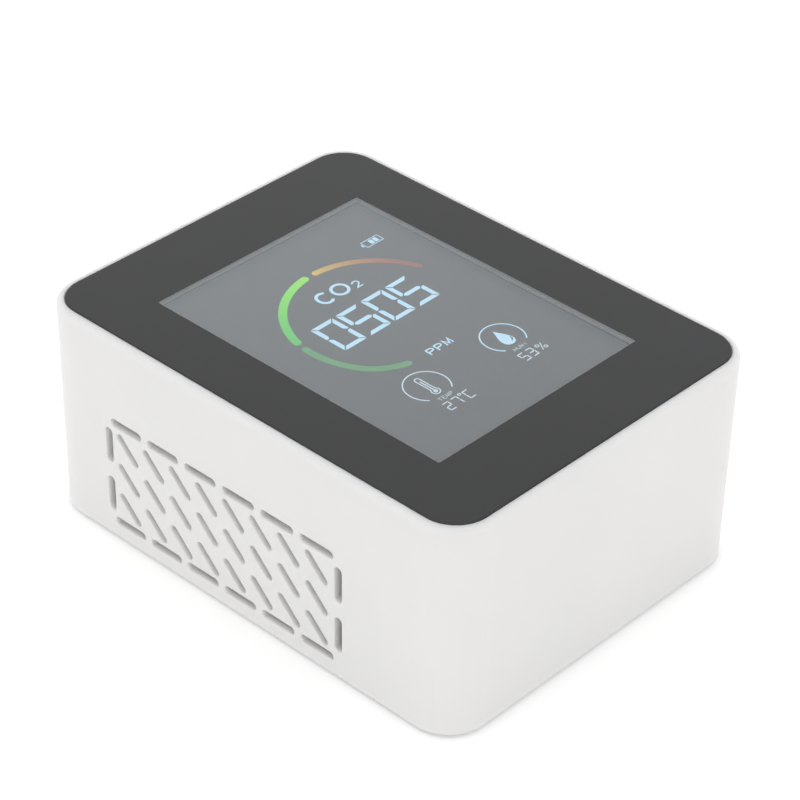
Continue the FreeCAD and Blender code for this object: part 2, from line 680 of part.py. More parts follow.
# Glass front

def cover_glass():
    body = plate("cover_glass", between(glass_half_width), between(glass_half_length),
                 (glass_back, glass_top), glass_corner)
    top = value(glass_top)
    soften(body, "Chamfer", edges_where(body.Tip.Shape, lambda point: abs(point.z - top) < 1e-6),
           "glass_bevel")


cover_glass()
plate("border_print", between(f"{glass_half_width} - print_margin"),
      between(f"{glass_half_length} - print_margin"), (print_back, glass_back),
      f"({glass_corner} - print_margin)",
      (between(window_half_width), between(window_half_length), "window_corner"))
plate("glass_tape", between(f"{glass_half_width} - tape_margin"),
      between(f"{glass_half_length} - tape_margin"), (deck_top, print_back),
      f"({glass_corner} - tape_margin)",
      (between(f"{window_half_width} + tape_width"), between(f"{window_half_length} + tape_width"),
       "window_corner"))
plate("lcd_gasket", between(f"{window_half_width} + deck_opening_margin - gasket_gap"),
      between(f"{window_half_length} + deck_opening_margin - gasket_gap"),
      (f"({deck_back} + polarizer_thickness)", print_back), "window_corner",
      (between(f"{window_half_width} + gasket_margin"), between(f"{window_half_length} + gasket_margin"),
       "window_corner"))

# Display, from its front to its back

polarizer = (between("active_width / 2 + polarizer_margin"), between("active_length / 2 + polarizer_margin"))
cell_corner = "window_corner"
plate("lcd_front_polarizer", *polarizer, (deck_back, f"({deck_back} + polarizer_thickness)"), cell_corner)
plate("lcd_front_glass", between(cell_half_width), between(cell_half_length),
      (front_cell_back, deck_back), cell_corner)
plate("lcd_rear_glass", between(cell_half_width), (ledge_end, cell_half_length),
      (rear_cell_back, front_cell_back), cell_corner)
plate("lcd_rear_polarizer", *polarizer, (rear_polarizer_back, rear_cell_back), cell_corner)
as_node(block("lcd_driver_chip", between("driver_length / 2"),
              about(f"(-({cell_half_length}) - cell_ledge / 3)", "driver_width"),
              (front_cell_back, f"({front_cell_back} + driver_height)")))

frame_half_width = f"({cell_half_width} + backlight_overhang)"
frame_low = ledge_end
frame_high = f"({cell_half_length} + backlight_overhang)"
frame_inside_across = between(f"{frame_half_width} - backlight_wall")
frame_inside_low = f"({frame_low} + backlight_wall)"
frame_inside_high = f"({frame_high} - backlight_wall)"


def backlight_frame():
    """A tray for the films, the light guide and the lamps."""
    body = plate("backlight_frame", between(frame_half_width), (frame_low, frame_high),
                 (backlight_back, rear_cell_back), cell_corner)
    inside = new_sketch(body, "backlight_inside", offset=rear_cell_back)
    rectangle(inside, frame_inside_across, (frame_inside_low, frame_inside_high), cell_corner)
    pocket(body, inside, f"{rear_cell_back} - {reflector_back}")


def backlight_lamps():
    """A row of small lamps against the light guide's lower edge."""
    lamps = []
    height = (f"({guide_back} + film_gap / 2)", f"({guide_back} + film_gap / 2 + lamp_depth)")
    low = f"({frame_inside_low} + film_gap)"
    for number in range(int(value("lamp_count"))):
        centre = f"(lamp_pitch * ({number} - (lamp_count - 1) / 2))"
        lamps.append(block(f"lamp_{number + 1}", about(centre, "lamp_length"),
                           (low, f"({low} + lamp_depth)"), height))
    as_node(group("backlight_leds", lamps))


backlight_frame()
film_across = between(f"{frame_half_width} - backlight_wall - film_gap")
film_high = f"({frame_inside_high} - film_gap)"
plate("backlight_diffuser", film_across, (f"({frame_inside_low} + lamp_row)", film_high),
      (diffuser_back, rear_polarizer_back), cell_corner)
plate("backlight_light_guide", film_across, (f"({frame_inside_low} + lamp_row)", film_high),
      (guide_back, diffuser_back), cell_corner)
plate("backlight_reflector", film_across, (f"({frame_inside_low} + film_gap)", film_high),
      (reflector_back, guide_back), cell_corner)
backlight_lamps()
plate("lcd_foam_pad", between("pad_width / 2"), between("pad_length / 2"),
      (board_top, backlight_back), cell_corner)


def lcd_flex_cable():
    """The display's ribbon: off the ledge, round in a half turn, and back under the display."""
    body = new_body("lcd_flex_cable")
    sketch = new_sketch(body, "flex_side", role="YZ_Plane")
    top = value(f"{front_cell_back} + flex_thickness")
    bottom = value(f"{board_top} + flex_lift")
    thickness = value("flex_thickness")
    start = value(f"{ledge_end} + flex_overlap")
    turn = value(f"{ledge_end} - flex_straight")
    end = value(f"{ledge_end} + flex_reach")
    outer = (top - bottom) / 2
    inner = outer - thickness
    centre = FreeCAD.Vector(turn, (top + bottom) / 2, 0)
    up = FreeCAD.Vector(0, 0, 1)
    quarter = math.pi / 2

    def line(start_u, start_v, end_u, end_v):
        return Part.LineSegment(FreeCAD.Vector(start_u, start_v, 0), FreeCAD.Vector(end_u, end_v, 0))

    shapes = (line(start, top, turn, top),
              Part.ArcOfCircle(Part.Circle(centre, up, outer), quarter, 3 * quarter),
              line(turn, bottom, end, bottom),
              line(end, bottom, end, bottom + thickness),
              line(end, bottom + thickness, turn, bottom + thickness),
              Part.ArcOfCircle(Part.Circle(centre, up, inner), quarter, 3 * quarter),
              line(turn, top - thickness, start, top - thickness),
              line(start, top - thickness, start, top))
    upper, bend, lower, tip, lower_inside, inner_bend, upper_inside, root = [
        sketch.addGeometry(shape, False) for shape in shapes]
    constrain(sketch, "Tangent", upper, 2, bend, 1)
    constrain(sketch, "Tangent", bend, 2, lower, 1)
    constrain(sketch, "Coincident", lower, 2, tip, 1)
    constrain(sketch, "Coincident", tip, 2, lower_inside, 1)
    constrain(sketch, "Tangent", lower_inside, 2, inner_bend, 2)
    constrain(sketch, "Tangent", inner_bend, 1, upper_inside, 1)
    constrain(sketch, "Coincident", upper_inside, 2, root, 1)
    constrain(sketch, "Coincident", root, 2, upper, 1)
    for piece in (upper, lower, upper_inside):
        constrain(sketch, "Horizontal", piece)
    constrain(sketch, "Vertical", tip)
    constrain(sketch, "Vertical", root)
    constrain(sketch, "Coincident", bend, 3, inner_bend, 3)
    measure(sketch, "DistanceX", (-1, 1, root, 2), f"{ledge_end} + flex_overlap")
    measure(sketch, "DistanceY", (-1, 1, root, 2), f"{front_cell_back} + flex_thickness")
    measure(sketch, "DistanceX", (-1, 1, bend, 3), f"{ledge_end} - flex_straight")
    measure(sketch, "DistanceY", (-1, 1, lower, 2), f"{board_top} + flex_lift")
    measure(sketch, "DistanceX", (-1, 1, lower, 2), f"{ledge_end} + flex_reach")
    measure(sketch, "DistanceY", (tip, 1, tip, 2), "flex_thickness")
    feature = pad(body, sketch, "flex_width")
    feature.SideType = "Symmetric"
    doc.recompute()


def lcd_flex_connector():
    """The ribbon's socket on the circuit board, with a slit for the ribbon."""
    mouth = f"({ledge_end} + flex_reach - flex_connector_depth / 2)"
    whole = block("flex_connector_block", between("flex_connector_length / 2"),
                  (mouth, f"({mouth} + flex_connector_depth)"),
                  (board_top, f"({board_top} + flex_connector_height)"))
    slit = block("flex_connector_slit", between("flex_width / 2 + running_gap"),
                 (f"({mouth} - flex_connector_depth)", f"({ledge_end} + flex_reach + running_gap)"),
                 (f"({board_top} + flex_lift - running_gap)",
                  f"({board_top} + flex_lift + flex_thickness + running_gap)"))
    as_node(without("lcd_flex_connector", whole, slit))


lcd_flex_cable()
lcd_flex_connector()


# Screws, with their heads towards the table

def cross_screw(name, position, radius, length, head_radius, head_height):
    """A screw that points up: a head with rounded lower edge and a cross recess, and its shank."""
    across, along, low = position
    head = round_bar(f"{name}_head", position, head_radius, head_height)
    low_edge = value(low)
    soft_head = rounded(f"{name}_soft_head", head, f"({head_height}) / 3",
                        lambda point: abs(point.z - low_edge) < 1e-6)
    shank = round_bar(f"{name}_shank", (across, along, f"({low} + {head_height})"), radius, length)
    whole = joined(f"{name}_whole", soft_head, shank)
    reach = f"(2 * ({head_radius}) * cross_share)"
    recess_height = (f"({low} - ({head_height}) / 2)", f"({low} + ({head_height}) * 0.6)")
    level = block(f"{name}_cross_level", about(across, reach), about(along, "cross_width"), recess_height)
    upright = block(f"{name}_cross_upright", about(across, "cross_width"), about(along, reach), recess_height)
    return without(name, whole, joined(f"{name}_cross", level, upright))


cover_screw = cross_screw("cover_screw", (boss_across, boss_along, f"({box_back} + cover_screw_sunk)"),
                          "cover_screw_radius", "cover_screw_length", "cover_screw_head_radius",
                          "cover_screw_head_height")
as_node(in_four_corners("rear_cover_screws", cover_screw))
board_screw = cross_screw("board_screw", (board_screw_across, board_screw_along,
                                          f"({board_back} - board_screw_head_height)"),
                          "board_screw_radius", "board_screw_length", "board_screw_head_radius",
                          "board_screw_head_height")
as_node(in_four_corners("board_screws", board_screw))

# Rear cover and feet

foot_across = f"({boss_across} - foot_from_screw_across)"
foot_along = f"({boss_along} - foot_from_screw_along)"


def rear_cover():
    """A plate inside the box's back edge, with sunk screws and feet, and ribs beside the battery."""
    body = plate("rear_cover", between(f"{inner_half_width} - cover_gap"),
                 between(f"{inner_half_length} - cover_gap"), (box_back, cover_top),
                 f"({inner_corner} - cover_gap)")
    ribs = new_sketch(body, "ribs", offset=cover_top)
    for sign in ("-", ""):
        centre = f"({sign}(cell_pack_width / 2 + rib_gap + rib_thickness / 2))"
        rectangle(ribs, about(centre, "rib_thickness"), between("cell_pack_length / 2"), "rib_thickness / 3")
    pad(body, ribs, "rib_height")
    corners = [(f"{sign_across}{across}", f"{sign_along}{along}", kind)
               for across, along, kind in ((boss_across, boss_along, "screw"),
                                           (foot_across, foot_along, "foot"))
               for sign_across in ("", "-") for sign_along in ("", "-")]
    for name, kind, radius, depth in (
            ("shank_holes", "screw", "cover_screw_radius + screw_clearance", "cover_thickness"),
            ("head_recesses", "screw", "cover_screw_head_radius + screw_clearance",
             "cover_screw_sunk + cover_screw_head_height"),
            ("foot_recesses", "foot", "foot_radius + foot_gap", "foot_sunk")):
        sketch = new_sketch(body, name, offset=box_back)
        for across, along, purpose in corners:
            if purpose == kind:
                ring(sketch, (across, along), radius)
        pocket(body, sketch, depth, along_normal=True)


rear_cover()
for number, (sign_across, sign_along) in enumerate((("", ""), ("-", ""), ("-", "-"), ("", "-")), start=1):
    foot = round_bar(f"foot_{number}_disc", (f"{sign_across}{foot_across}", f"{sign_along}{foot_along}", "0"),
                     "foot_radius", "foot_proud + foot_sunk")
    as_node(rounded(f"rubber_foot_{number}", foot, "foot_edge", lambda point: abs(point.z) < 1e-6))


# Circuit board and what is soldered to it

def main_board():
    body = plate("main_board", between(board_half_width), between(board_half_length),
                 (board_back, board_top), "board_corner")
    holes = new_sketch(body, "board_holes", offset=board_back)
    for sign_across in ("", "-"):
        for sign_along in ("", "-"):
            ring(holes, (f"{sign_across}{board_screw_across}", f"{sign_along}{board_screw_along}"),
                 "board_screw_radius + screw_clearance")
    pocket(body, holes, "board_thickness", along_normal=True)


main_board()


def under_board(name, centre, size):
    """A chip or block against the underside of the circuit board."""
    across, along = centre
    width, length, height = size
    return block(name, about(across, width), about(along, length), (f"({board_back} - {height})", board_back))


def square_chip(name, sizes):
    """A square chip whose side, height and place start with the same word in the sheet."""
    as_node(under_board(name, (f"{sizes}_across", f"{sizes}_along"),
                        (f"{sizes}_side", f"{sizes}_side", f"{sizes}_height")))


square_chip("microcontroller", "controller")
square_chip("charger_chip", "charger")
square_chip("power_inductor", "inductor")
square_chip("temp_humidity_sensor", "climate")
capacitor_size = ("capacitor_length", "capacitor_width", "capacitor_height")
capacitor_places = ((3, 6), (3, 12), (3, 18), (9, 20), (15, 20), (21, 4), (24, -16), (8, -10))
as_node(group("chip_capacitors", [
    under_board(f"chip_capacitor_{number}", (str(across), str(along)), capacitor_size)
    for number, (across, along) in enumerate(capacitor_places, start=1)]))


def buzzer():
    """A round sounder with a hole in its face."""
    can = round_bar("buzzer_can", ("buzzer_across", "buzzer_along", f"({board_back} - buzzer_height)"),
                    "buzzer_radius", "buzzer_height")
    hole_start = f"({board_back} - buzzer_height - buzzer_hole_depth)"
    hole = round_bar("buzzer_hole", ("buzzer_across", "buzzer_along", hole_start), "buzzer_hole_radius",
                     "2 * buzzer_hole_depth")
    as_node(without("buzzer", can, hole))


buzzer()

# USB-C socket

socket_face = wall_face(socket_centre)
socket_mouth = f"({socket_face} - socket_inset)"
socket_back = f"({socket_mouth} - socket_length)"


def usb_socket_shell():
    """The socket's metal tube, closed at the back."""
    body = new_body("usb_socket_shell")
    outside = new_sketch(body, "socket_outside", role="YZ_Plane", offset=socket_back)
    rectangle(outside, about("socket_along", "socket_width"), about(socket_centre, "socket_height"),
              "socket_corner")
    pad(body, outside, "socket_length")
    inside = new_sketch(body, "socket_inside", role="YZ_Plane", offset=socket_mouth)
    rectangle(inside, about("socket_along", "socket_width - 2 * socket_wall"),
              about(socket_centre, "socket_height - 2 * socket_wall"), "(socket_corner - socket_wall)")
    pocket(body, inside, "socket_length - socket_wall")


def usb_socket_tongue():
    """The plastic tongue and the block that holds it."""
    body = new_body("usb_socket_tongue")
    root = f"({socket_back} + socket_wall)"
    base = new_sketch(body, "tongue_base", role="YZ_Plane", offset=root)
    rectangle(base, about("socket_along", "socket_width - 2 * socket_wall - 2 * running_gap"),
              about(socket_centre, "socket_height - 2 * socket_wall - 2 * running_gap"),
              "(socket_corner - socket_wall - running_gap)")
    pad(body, base, "tongue_block")
    tongue = new_sketch(body, "tongue_section", role="YZ_Plane", offset=root)
    rectangle(tongue, about("socket_along", "tongue_width"), about(socket_centre, "tongue_thickness"),
              "tongue_thickness / 4")
    pad(body, tongue, "socket_length - socket_wall - tongue_inset")


def usb_socket_contacts():
    """Two rows of contacts, on the tongue's two faces."""
    end = f"({socket_mouth} - 2 * tongue_inset)"
    rows = ((f"({socket_centre} + tongue_thickness / 2)",
             f"({socket_centre} + tongue_thickness / 2 + contact_thickness)"),
            (f"({socket_centre} - tongue_thickness / 2 - contact_thickness)",
             f"({socket_centre} - tongue_thickness / 2)"))
    contacts = []
    for number in range(int(value("contact_count"))):
        along = about(f"(socket_along + contact_pitch * ({number} - (contact_count - 1) / 2))",
                      "contact_width")
        for side, height in zip(("top", "back"), rows):
            contacts.append(block(f"contact_{side}_{number + 1}", (f"({end} - contact_length)", end), along,
                                  height))
    as_node(group("usb_socket_contacts", contacts))


usb_socket_shell()
usb_socket_tongue()
usb_socket_contacts()

# Power button and its switch, pressed towards -X

button_face = f"({wall_face(switch_centre)} + button_proud)"
flange_face = f"({inner_half_width} - running_gap)"
flange_back = f"({flange_face} - flange_thickness)"
plate_face = f"({flange_back} - button_travel - plunger_proud - running_gap)"
plunger_tip = f"({plate_face} + plunger_proud)"
switch_face = f"({plate_face} - switch_cover_thickness)"
switch_back = f"({switch_face} - switch_depth)"
bore_floor = f"({switch_face} - switch_bore_depth)"
plunger_flange_face = f"({switch_face} - running_gap)"
plunger_back = f"({plunger_flange_face} - plunger_flange_thickness)"


def power_button():
    """The button: a capsule face, a flange that keeps it in the box, and a post to the switch."""
    body = new_body("power_button")
    flange = new_sketch(body, "button_flange", role="YZ_Plane", offset=flange_back)
    rectangle(flange, about("button_along", "button_width + 2 * flange_margin"),
              about(switch_centre, "button_height + flange_margin"), "button_corner")
    pad(body, flange, "flange_thickness")
    face = new_sketch(body, "button_face", role="YZ_Plane", offset=flange_face)
    rectangle(face, about("button_along", "button_width"), about(switch_centre, "button_height"),
              "button_corner")
    pad(body, face, f"{button_face} - {flange_face}")
    post = new_sketch(body, "button_post", role="YZ_Plane", offset=flange_back)
    ring(post, ("button_along", switch_centre), "button_post_radius")
    pad(body, post, f"{flange_back} - {plunger_tip} - running_gap", backwards=True)
    front = value(button_face)
    soften(body, "Fillet", edges_where(body.Tip.Shape, lambda point: abs(point.x - front) < 1e-6),
           "button_edge")


def switch():
    """A side-pressed switch: a block with a bore, a click dome, a plunger and a metal plate."""
    along, height = "button_along", switch_centre
    body = block("switch_block", (switch_back, switch_face), about(along, "switch_width"),
                 about(height, "switch_height"))
    bore = round_bar("switch_bore", (bore_floor, along, height), "switch_bore_radius",
                     "2 * switch_bore_depth", axis="x")
    as_node(without("switch_body", body, bore))
    cover = block("switch_plate", (switch_face, plate_face), about(along, "switch_width"),
                  about(height, "switch_height"))
    hole = round_bar("switch_plate_hole", (f"({switch_face} - switch_cover_thickness)", along, height),
                     "plunger_radius + running_gap", "3 * switch_cover_thickness", axis="x")
    as_node(without("switch_cover", cover, hole))
    stem = round_bar("plunger_stem", (plunger_back, along, height), "plunger_radius",
                     f"{plunger_tip} - {plunger_back}", axis="x")
    flange = round_bar("plunger_flange", (plunger_back, along, height), "plunger_flange_radius",
                       "plunger_flange_thickness", axis="x")
    as_node(joined("switch_plunger", stem, flange))


def switch_dome():
    """A thin metal dome on the bore's floor, its crown just under the plunger."""
    body = new_body("switch_dome")
    rise = value(f"{plunger_back} - running_gap - {bore_floor}")
    base = value("switch_bore_radius - running_gap")
    thickness = value("dome_thickness")
    floor = value(bore_floor)
    sketch = new_sketch(body, "dome_section", role="XY_Plane")
    outer = (base ** 2 + rise ** 2) / (2 * rise)
    inner = outer - thickness
    centre = FreeCAD.Vector(floor + rise - outer, 0, 0)
    inner_base = math.sqrt(inner ** 2 - (outer - rise) ** 2)
    up = FreeCAD.Vector(0, 0, 1)
    shapes = (Part.ArcOfCircle(Part.Circle(centre, up, outer), 0, math.asin(base / outer)),
              Part.LineSegment(FreeCAD.Vector(floor, base, 0), FreeCAD.Vector(floor, inner_base, 0)),
              Part.ArcOfCircle(Part.Circle(centre, up, inner), 0, math.asin(inner_base / inner)),
              Part.LineSegment(centre + FreeCAD.Vector(inner, 0, 0), centre + FreeCAD.Vector(outer, 0, 0)))
    outside, skirt, inside, crown = [sketch.addGeometry(shape, False) for shape in shapes]
    constrain(sketch, "Coincident", outside, 2, skirt, 1)
    constrain(sketch, "Coincident", skirt, 2, inside, 2)
    constrain(sketch, "Coincident", inside, 1, crown, 1)
    constrain(sketch, "Coincident", crown, 2, outside, 1)
    constrain(sketch, "Coincident", outside, 3, inside, 3)
    constrain(sketch, "PointOnObject", outside, 3, -1)
    constrain(sketch, "PointOnObject", crown, 1, -1)
    constrain(sketch, "PointOnObject", crown, 2, -1)
    constrain(sketch, "Vertical", skirt)
    measure(sketch, "DistanceX", (-1, 1, skirt, 1), bore_floor)
    measure(sketch, "DistanceX", (-1, 1, crown, 2), f"{plunger_back} - running_gap")
    measure(sketch, "DistanceY", (-1, 1, skirt, 1), "switch_bore_radius - running_gap")
    measure(sketch, "DistanceX", (crown, 1, crown, 2), "dome_thickness")
    turned = body.newObject("PartDesign::Revolution", "dome_turn")
    turned.Profile = sketch
    turned.ReferenceAxis = (sketch, ["H_Axis"])
    turned.Angle = 360
    bind(sketch, "AttachmentOffset.Base.z", switch_centre)
    bind(sketch, "AttachmentOffset.Base.y", "button_along")
    doc.recompute()


power_button()
switch()
switch_dome()

# Gas sensor, hung under the circuit board beside the vents

sensor_top = f"({board_back} - sensor_drop)"
sensor_back = f"({sensor_top} - sensor_board_thickness)"
chamber_back = f"({sensor_back} - chamber_height)"
sensor_across = about("sensor_centre_across", "sensor_width")
sensor_along = about("sensor_centre_along", "sensor_length")
as_node(block("co2_sensor_board", sensor_across, sensor_along, (sensor_top, sensor_back)[::-1]))


def co2_sensor_chamber():
    """The gilded chamber that the gas drifts through, with its lower edges rounded."""
    low = value(chamber_back)
    chamber = block("chamber_block",
                    (f"({sensor_across[0]} + sensor_margin)", f"({sensor_across[1]} - sensor_margin)"),
                    (f"({sensor_along[0]} + sensor_pin_room)", f"({sensor_along[1]} - sensor_pin_room)"),
                    (chamber_back, sensor_back))
    as_node(rounded("co2_sensor_chamber", chamber, "chamber_edge", lambda point: abs(point.z - low) < 1e-6))


def co2_sensor_pins():
    """Two rows of pins between the two boards, one at each end of the sensor."""
    pins = []
    for end, along in enumerate((f"({sensor_along[0]} + sensor_pin_room / 2)",
                                 f"({sensor_along[1]} - sensor_pin_room / 2)"), start=1):
        for number in range(int(value("pin_count"))):
            across = f"(sensor_centre_across + pin_pitch * ({number} - (pin_count - 1) / 2))"
            pins.append(round_bar(f"pin_{end}_{number + 1}", (across, along, sensor_top), "pin_radius",
                                  "sensor_drop"))
    as_node(group("co2_sensor_pins", pins))


co2_sensor_chamber()
co2_sensor_pins()
as_node(block("co2_filter_membrane", about("sensor_centre_across", "membrane_width"),
              about("sensor_centre_along", "membrane_length"),
              (f"({chamber_back} - membrane_thickness)", chamber_back)))

# Battery on the rear cover, and its wires

battery_back = f"({cover_top} + cell_tape_thickness)"
battery_top = f"({battery_back} + cell_pack_height)"


def battery_cell():
    """A flat pouch cell with rounded long edges."""
    pouch = block("pouch", between("cell_pack_width / 2"), between("cell_pack_length / 2"),
                  (battery_back, battery_top))
    doc.recompute()
    fillet = doc.addObject("Part::Fillet", "battery_cell")
    fillet.Base = pouch
    radius = value("cell_pack_edge")
    long_edges = [number for number, edge in enumerate(pouch.Shape.Edges, start=1)
                  if abs(edge.tangentAt(edge.FirstParameter).y) > 0.99]
    fillet.Edges = [(number, radius, radius) for number in long_edges]
    as_node(fillet)


battery_cell()
as_node(block("battery_tape", between("cell_pack_width / 2 - cell_tape_inset"),
              between("cell_pack_length / 2 - cell_tape_inset"), (cover_top, battery_back)))
guard_far = "(-cell_pack_length / 2 - guard_thickness)"
as_node(block("battery_guard_board", between("guard_width / 2"), (guard_far, "(-cell_pack_length / 2)"),
              (f"({battery_back} + guard_inset)", f"({battery_top} - guard_inset)")))

plug_face = f"(-{board_half_length} + plug_socket_back)"
plug_far = f"({plug_face} - plug_depth)"
plug_centre = f"({board_back} - plug_socket_height / 2)"
as_node(under_board("battery_socket", ("0", f"({plug_face} + plug_socket_depth / 2)"),
                    ("plug_socket_width", "plug_socket_depth", "plug_socket_height")))
as_node(block("battery_plug", between("plug_width / 2"), (plug_far, plug_face),
              about(plug_centre, "plug_height")))


def battery_wire(name, across):
    """A wire from the plug, down past the board's edge, to the battery's protection board."""
    upright = value(f"{plug_far} - wire_clear")
    top, low = value(plug_centre), value(f"({battery_back} + {battery_top}) / 2")
    bend = value("wire_bend")
    x = value(across)
    slack = bend * (1 - math.sqrt(0.5))

    def point(along, height):
        return FreeCAD.Vector(x, along, height)

    path = Part.Wire([
        Part.LineSegment(point(value(plug_far), top), point(upright + bend, top)).toShape(),
        Part.Arc(point(upright + bend, top), point(upright + slack, top - slack),
                 point(upright, top - bend)).toShape(),
        Part.LineSegment(point(upright, top - bend), point(upright, low + bend)).toShape(),
        Part.Arc(point(upright, low + bend), point(upright + slack, low + slack),
                 point(upright + bend, low)).toShape(),
        Part.LineSegment(point(upright + bend, low), point(value(guard_far), low)).toShape()])
    section = Part.Wire(Part.Circle(point(value(plug_far), top), FreeCAD.Vector(0, 1, 0),
                                    value("wire_radius")).toShape())
    wire = doc.addObject("Part::Feature", name)
    wire.Shape = path.makePipeShell([section], True, False)
    as_node(wire)


battery_wire("battery_wire_red", "wire_spacing / 2")
battery_wire("battery_wire_black", "-wire_spacing / 2")

# Write every piece

doc.recompute()
for item in doc.Objects:
    if {"Invalid", "Error"} & set(item.State):
        raise RuntimeError(f"{item.Name} could not be made: {item.State}")
for item in nodes:
    if item.Shape.isNull() or not item.Shape.isValid() or not item.Shape.Solids:
        raise RuntimeError(f"{item.Label} has no valid shape")
os.makedirs("parts", exist_ok=True)
for item in nodes:
    item.Shape.exportStep(f"parts/{item.Label}.step")
print(f"{len(nodes)} pieces written")
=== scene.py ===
# %% [markdown]
# # A desk air monitor on a white studio floor
# The real object is a white moulded box that lies on its back. A sheet of dark-bordered glass closes its
# front, and a colour display glows behind the clear middle of that glass. The CAD model already holds every
# hard part at its true size, so this lesson adds what CAD can't: light, finishes, and the picture on the
# display.
#
# Every length is in metres. The first cell loads the CAD parts as a frame that never moves.

# %% Load the fixed frame
import json
import math

import bpy
import numpy as np
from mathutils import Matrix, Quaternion, Vector


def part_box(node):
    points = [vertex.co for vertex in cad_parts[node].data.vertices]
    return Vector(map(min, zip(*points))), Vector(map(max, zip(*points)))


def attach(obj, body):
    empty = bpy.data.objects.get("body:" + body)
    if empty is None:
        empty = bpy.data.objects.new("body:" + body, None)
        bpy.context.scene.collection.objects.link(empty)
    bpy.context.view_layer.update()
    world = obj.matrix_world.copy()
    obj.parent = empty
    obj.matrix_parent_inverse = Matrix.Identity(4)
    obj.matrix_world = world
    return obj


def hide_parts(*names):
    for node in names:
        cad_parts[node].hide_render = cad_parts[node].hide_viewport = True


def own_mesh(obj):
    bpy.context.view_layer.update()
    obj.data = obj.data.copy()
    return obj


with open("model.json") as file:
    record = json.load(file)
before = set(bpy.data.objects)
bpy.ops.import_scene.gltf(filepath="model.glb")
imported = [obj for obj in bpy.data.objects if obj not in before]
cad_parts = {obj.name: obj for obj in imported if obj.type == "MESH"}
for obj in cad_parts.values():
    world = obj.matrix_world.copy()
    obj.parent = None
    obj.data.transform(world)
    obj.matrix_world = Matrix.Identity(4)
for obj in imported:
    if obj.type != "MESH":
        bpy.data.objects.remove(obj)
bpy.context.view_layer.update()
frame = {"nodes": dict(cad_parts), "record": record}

MM = 0.001

# %% [markdown]
# ## The camera
# A product picture of a small box is taken with a long lens from about half a metre. The long lens keeps the
# box's sides nearly parallel. The camera is placed by turning round a point near the middle of the object:
# azimuth 0 looks along +Y, and a negative azimuth comes round to the left side.

# %% Put up the camera
aim = Vector((0.0, -1.5, 27.5)) * MM
camera_distance = 513.8 * MM
camera_azimuth = math.radians(-47.27)
camera_elevation = math.radians(35.23)
camera_roll = math.radians(1.21)


def direction(azimuth, elevation):
    """The unit vector from the object towards a point at that azimuth and elevation."""
    level = math.cos(elevation)
    return Vector((math.sin(azimuth) * level, -math.cos(azimuth) * level, math.sin(elevation)))


towards_camera = direction(camera_azimuth, camera_elevation)
camera = bpy.data.objects.new("camera", bpy.data.cameras.new("camera"))
bpy.context.scene.collection.objects.link(camera)
bpy.context.scene.camera = camera
camera.data.sensor_width = 36.0
camera.data.lens = 134.1
camera.data.clip_start = 0.01
camera.location = aim + towards_camera * camera_distance
level_view = (-towards_camera).to_track_quat("-Z", "Y")
camera.rotation_euler = (level_view @ Quaternion((0, 0, 1), camera_roll)).to_euler()
print("camera at", [round(x / MM, 1) for x in camera.location], "mm")

# %% [markdown]
# ## Shapes as arrays
# Every new shape here is a stack of closed loops of points. Two neighbouring loops are joined by four-sided
# faces, and the first and last loop are closed by one face each. numpy works out all the points at once, so
# the shape is a formula and not a list of corners.

# %% Helpers that turn loops of points into a mesh
def skin(loops, wrapped=False):
    """Join loops (rows x points x 3) into a closed skin. Point j of row i, its neighbour j+1, and the same
    two points of row i+1 make one face. Wrapped joins the last row to the first; otherwise both ends are
    capped."""
    rows, count = loops.shape[:2]
    index = np.arange(rows * count).reshape(rows, count)
    upper = np.roll(index, -1, 0) if wrapped else index[1:]
    lower = index if wrapped else index[:-1]
    sides = np.stack([lower, np.roll(lower, -1, 1), np.roll(upper, -1, 1), upper], -1).reshape(-1, 4).tolist()
    caps = [] if wrapped else [index[0][::-1].tolist(), index[-1].tolist()]
    return loops.reshape(-1, 3), sides, caps


def gathered(parts):
    """Put several skins into one list of points and faces, by shifting each one's point numbers."""
    starts = np.cumsum([0] + [len(points) for points, _, _ in parts[:-1]])
    points = np.concatenate([p for p, _, _ in parts])
    sides = [[i + int(s) for i in face] for (_, faces, _), s in zip(parts, starts) for face in faces]
    caps = [[i + int(s) for i in face] for (_, _, faces), s in zip(parts, starts) for face in faces]
    return points, sides, caps


def make_piece(name, parts, body="root", smooth=True):
    """Make one object from skins. Its place is in its mesh, and it rides on a CAD body."""
    points, sides, caps = gathered(parts)
    mesh = bpy.data.meshes.new(name)
    mesh.from_pydata(points.tolist(), [], sides + caps)
    shading = np.zeros(len(mesh.polygons), bool)
    shading[:len(sides)] = smooth
    mesh.polygons.foreach_set("use_smooth", shading)
    mesh.set_sharp_from_angle(angle=math.radians(35))
    piece = bpy.data.objects.new(name, mesh)
    bpy.context.scene.collection.objects.link(piece)
    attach(piece, body)
    print(name, len(mesh.vertices), "points", len(mesh.polygons), "faces")
    return piece


# %% [markdown]
# ## The floor and the light
# The studio is plain: a white floor, a white room, one large lamp overhead and a weaker one to the left.
# The floor glows a little, so that it stays pure white round the box. The room's light comes from every
# side, so the box's walls stay bright and its shadow stays soft. The glass mirrors that white room, which
# is why a black border looks charcoal from here, and a little paler towards the far side, where the view is
# flatter.

# %% Lay the floor and light the room
floor_half = 3.0
floor_level = -0.02 * MM    # a hair under the feet, so that no two faces share a plane
floor_mesh = bpy.data.meshes.new("studio_floor")
floor_corners = [(x * floor_half, y * floor_half, floor_level)
                 for x, y in ((-1, -1), (1, -1), (1, 1), (-1, 1))]
floor_mesh.from_pydata(floor_corners, [], [(0, 1, 2, 3)])
studio_floor = bpy.data.objects.new("studio_floor", floor_mesh)
bpy.context.scene.collection.objects.link(studio_floor)

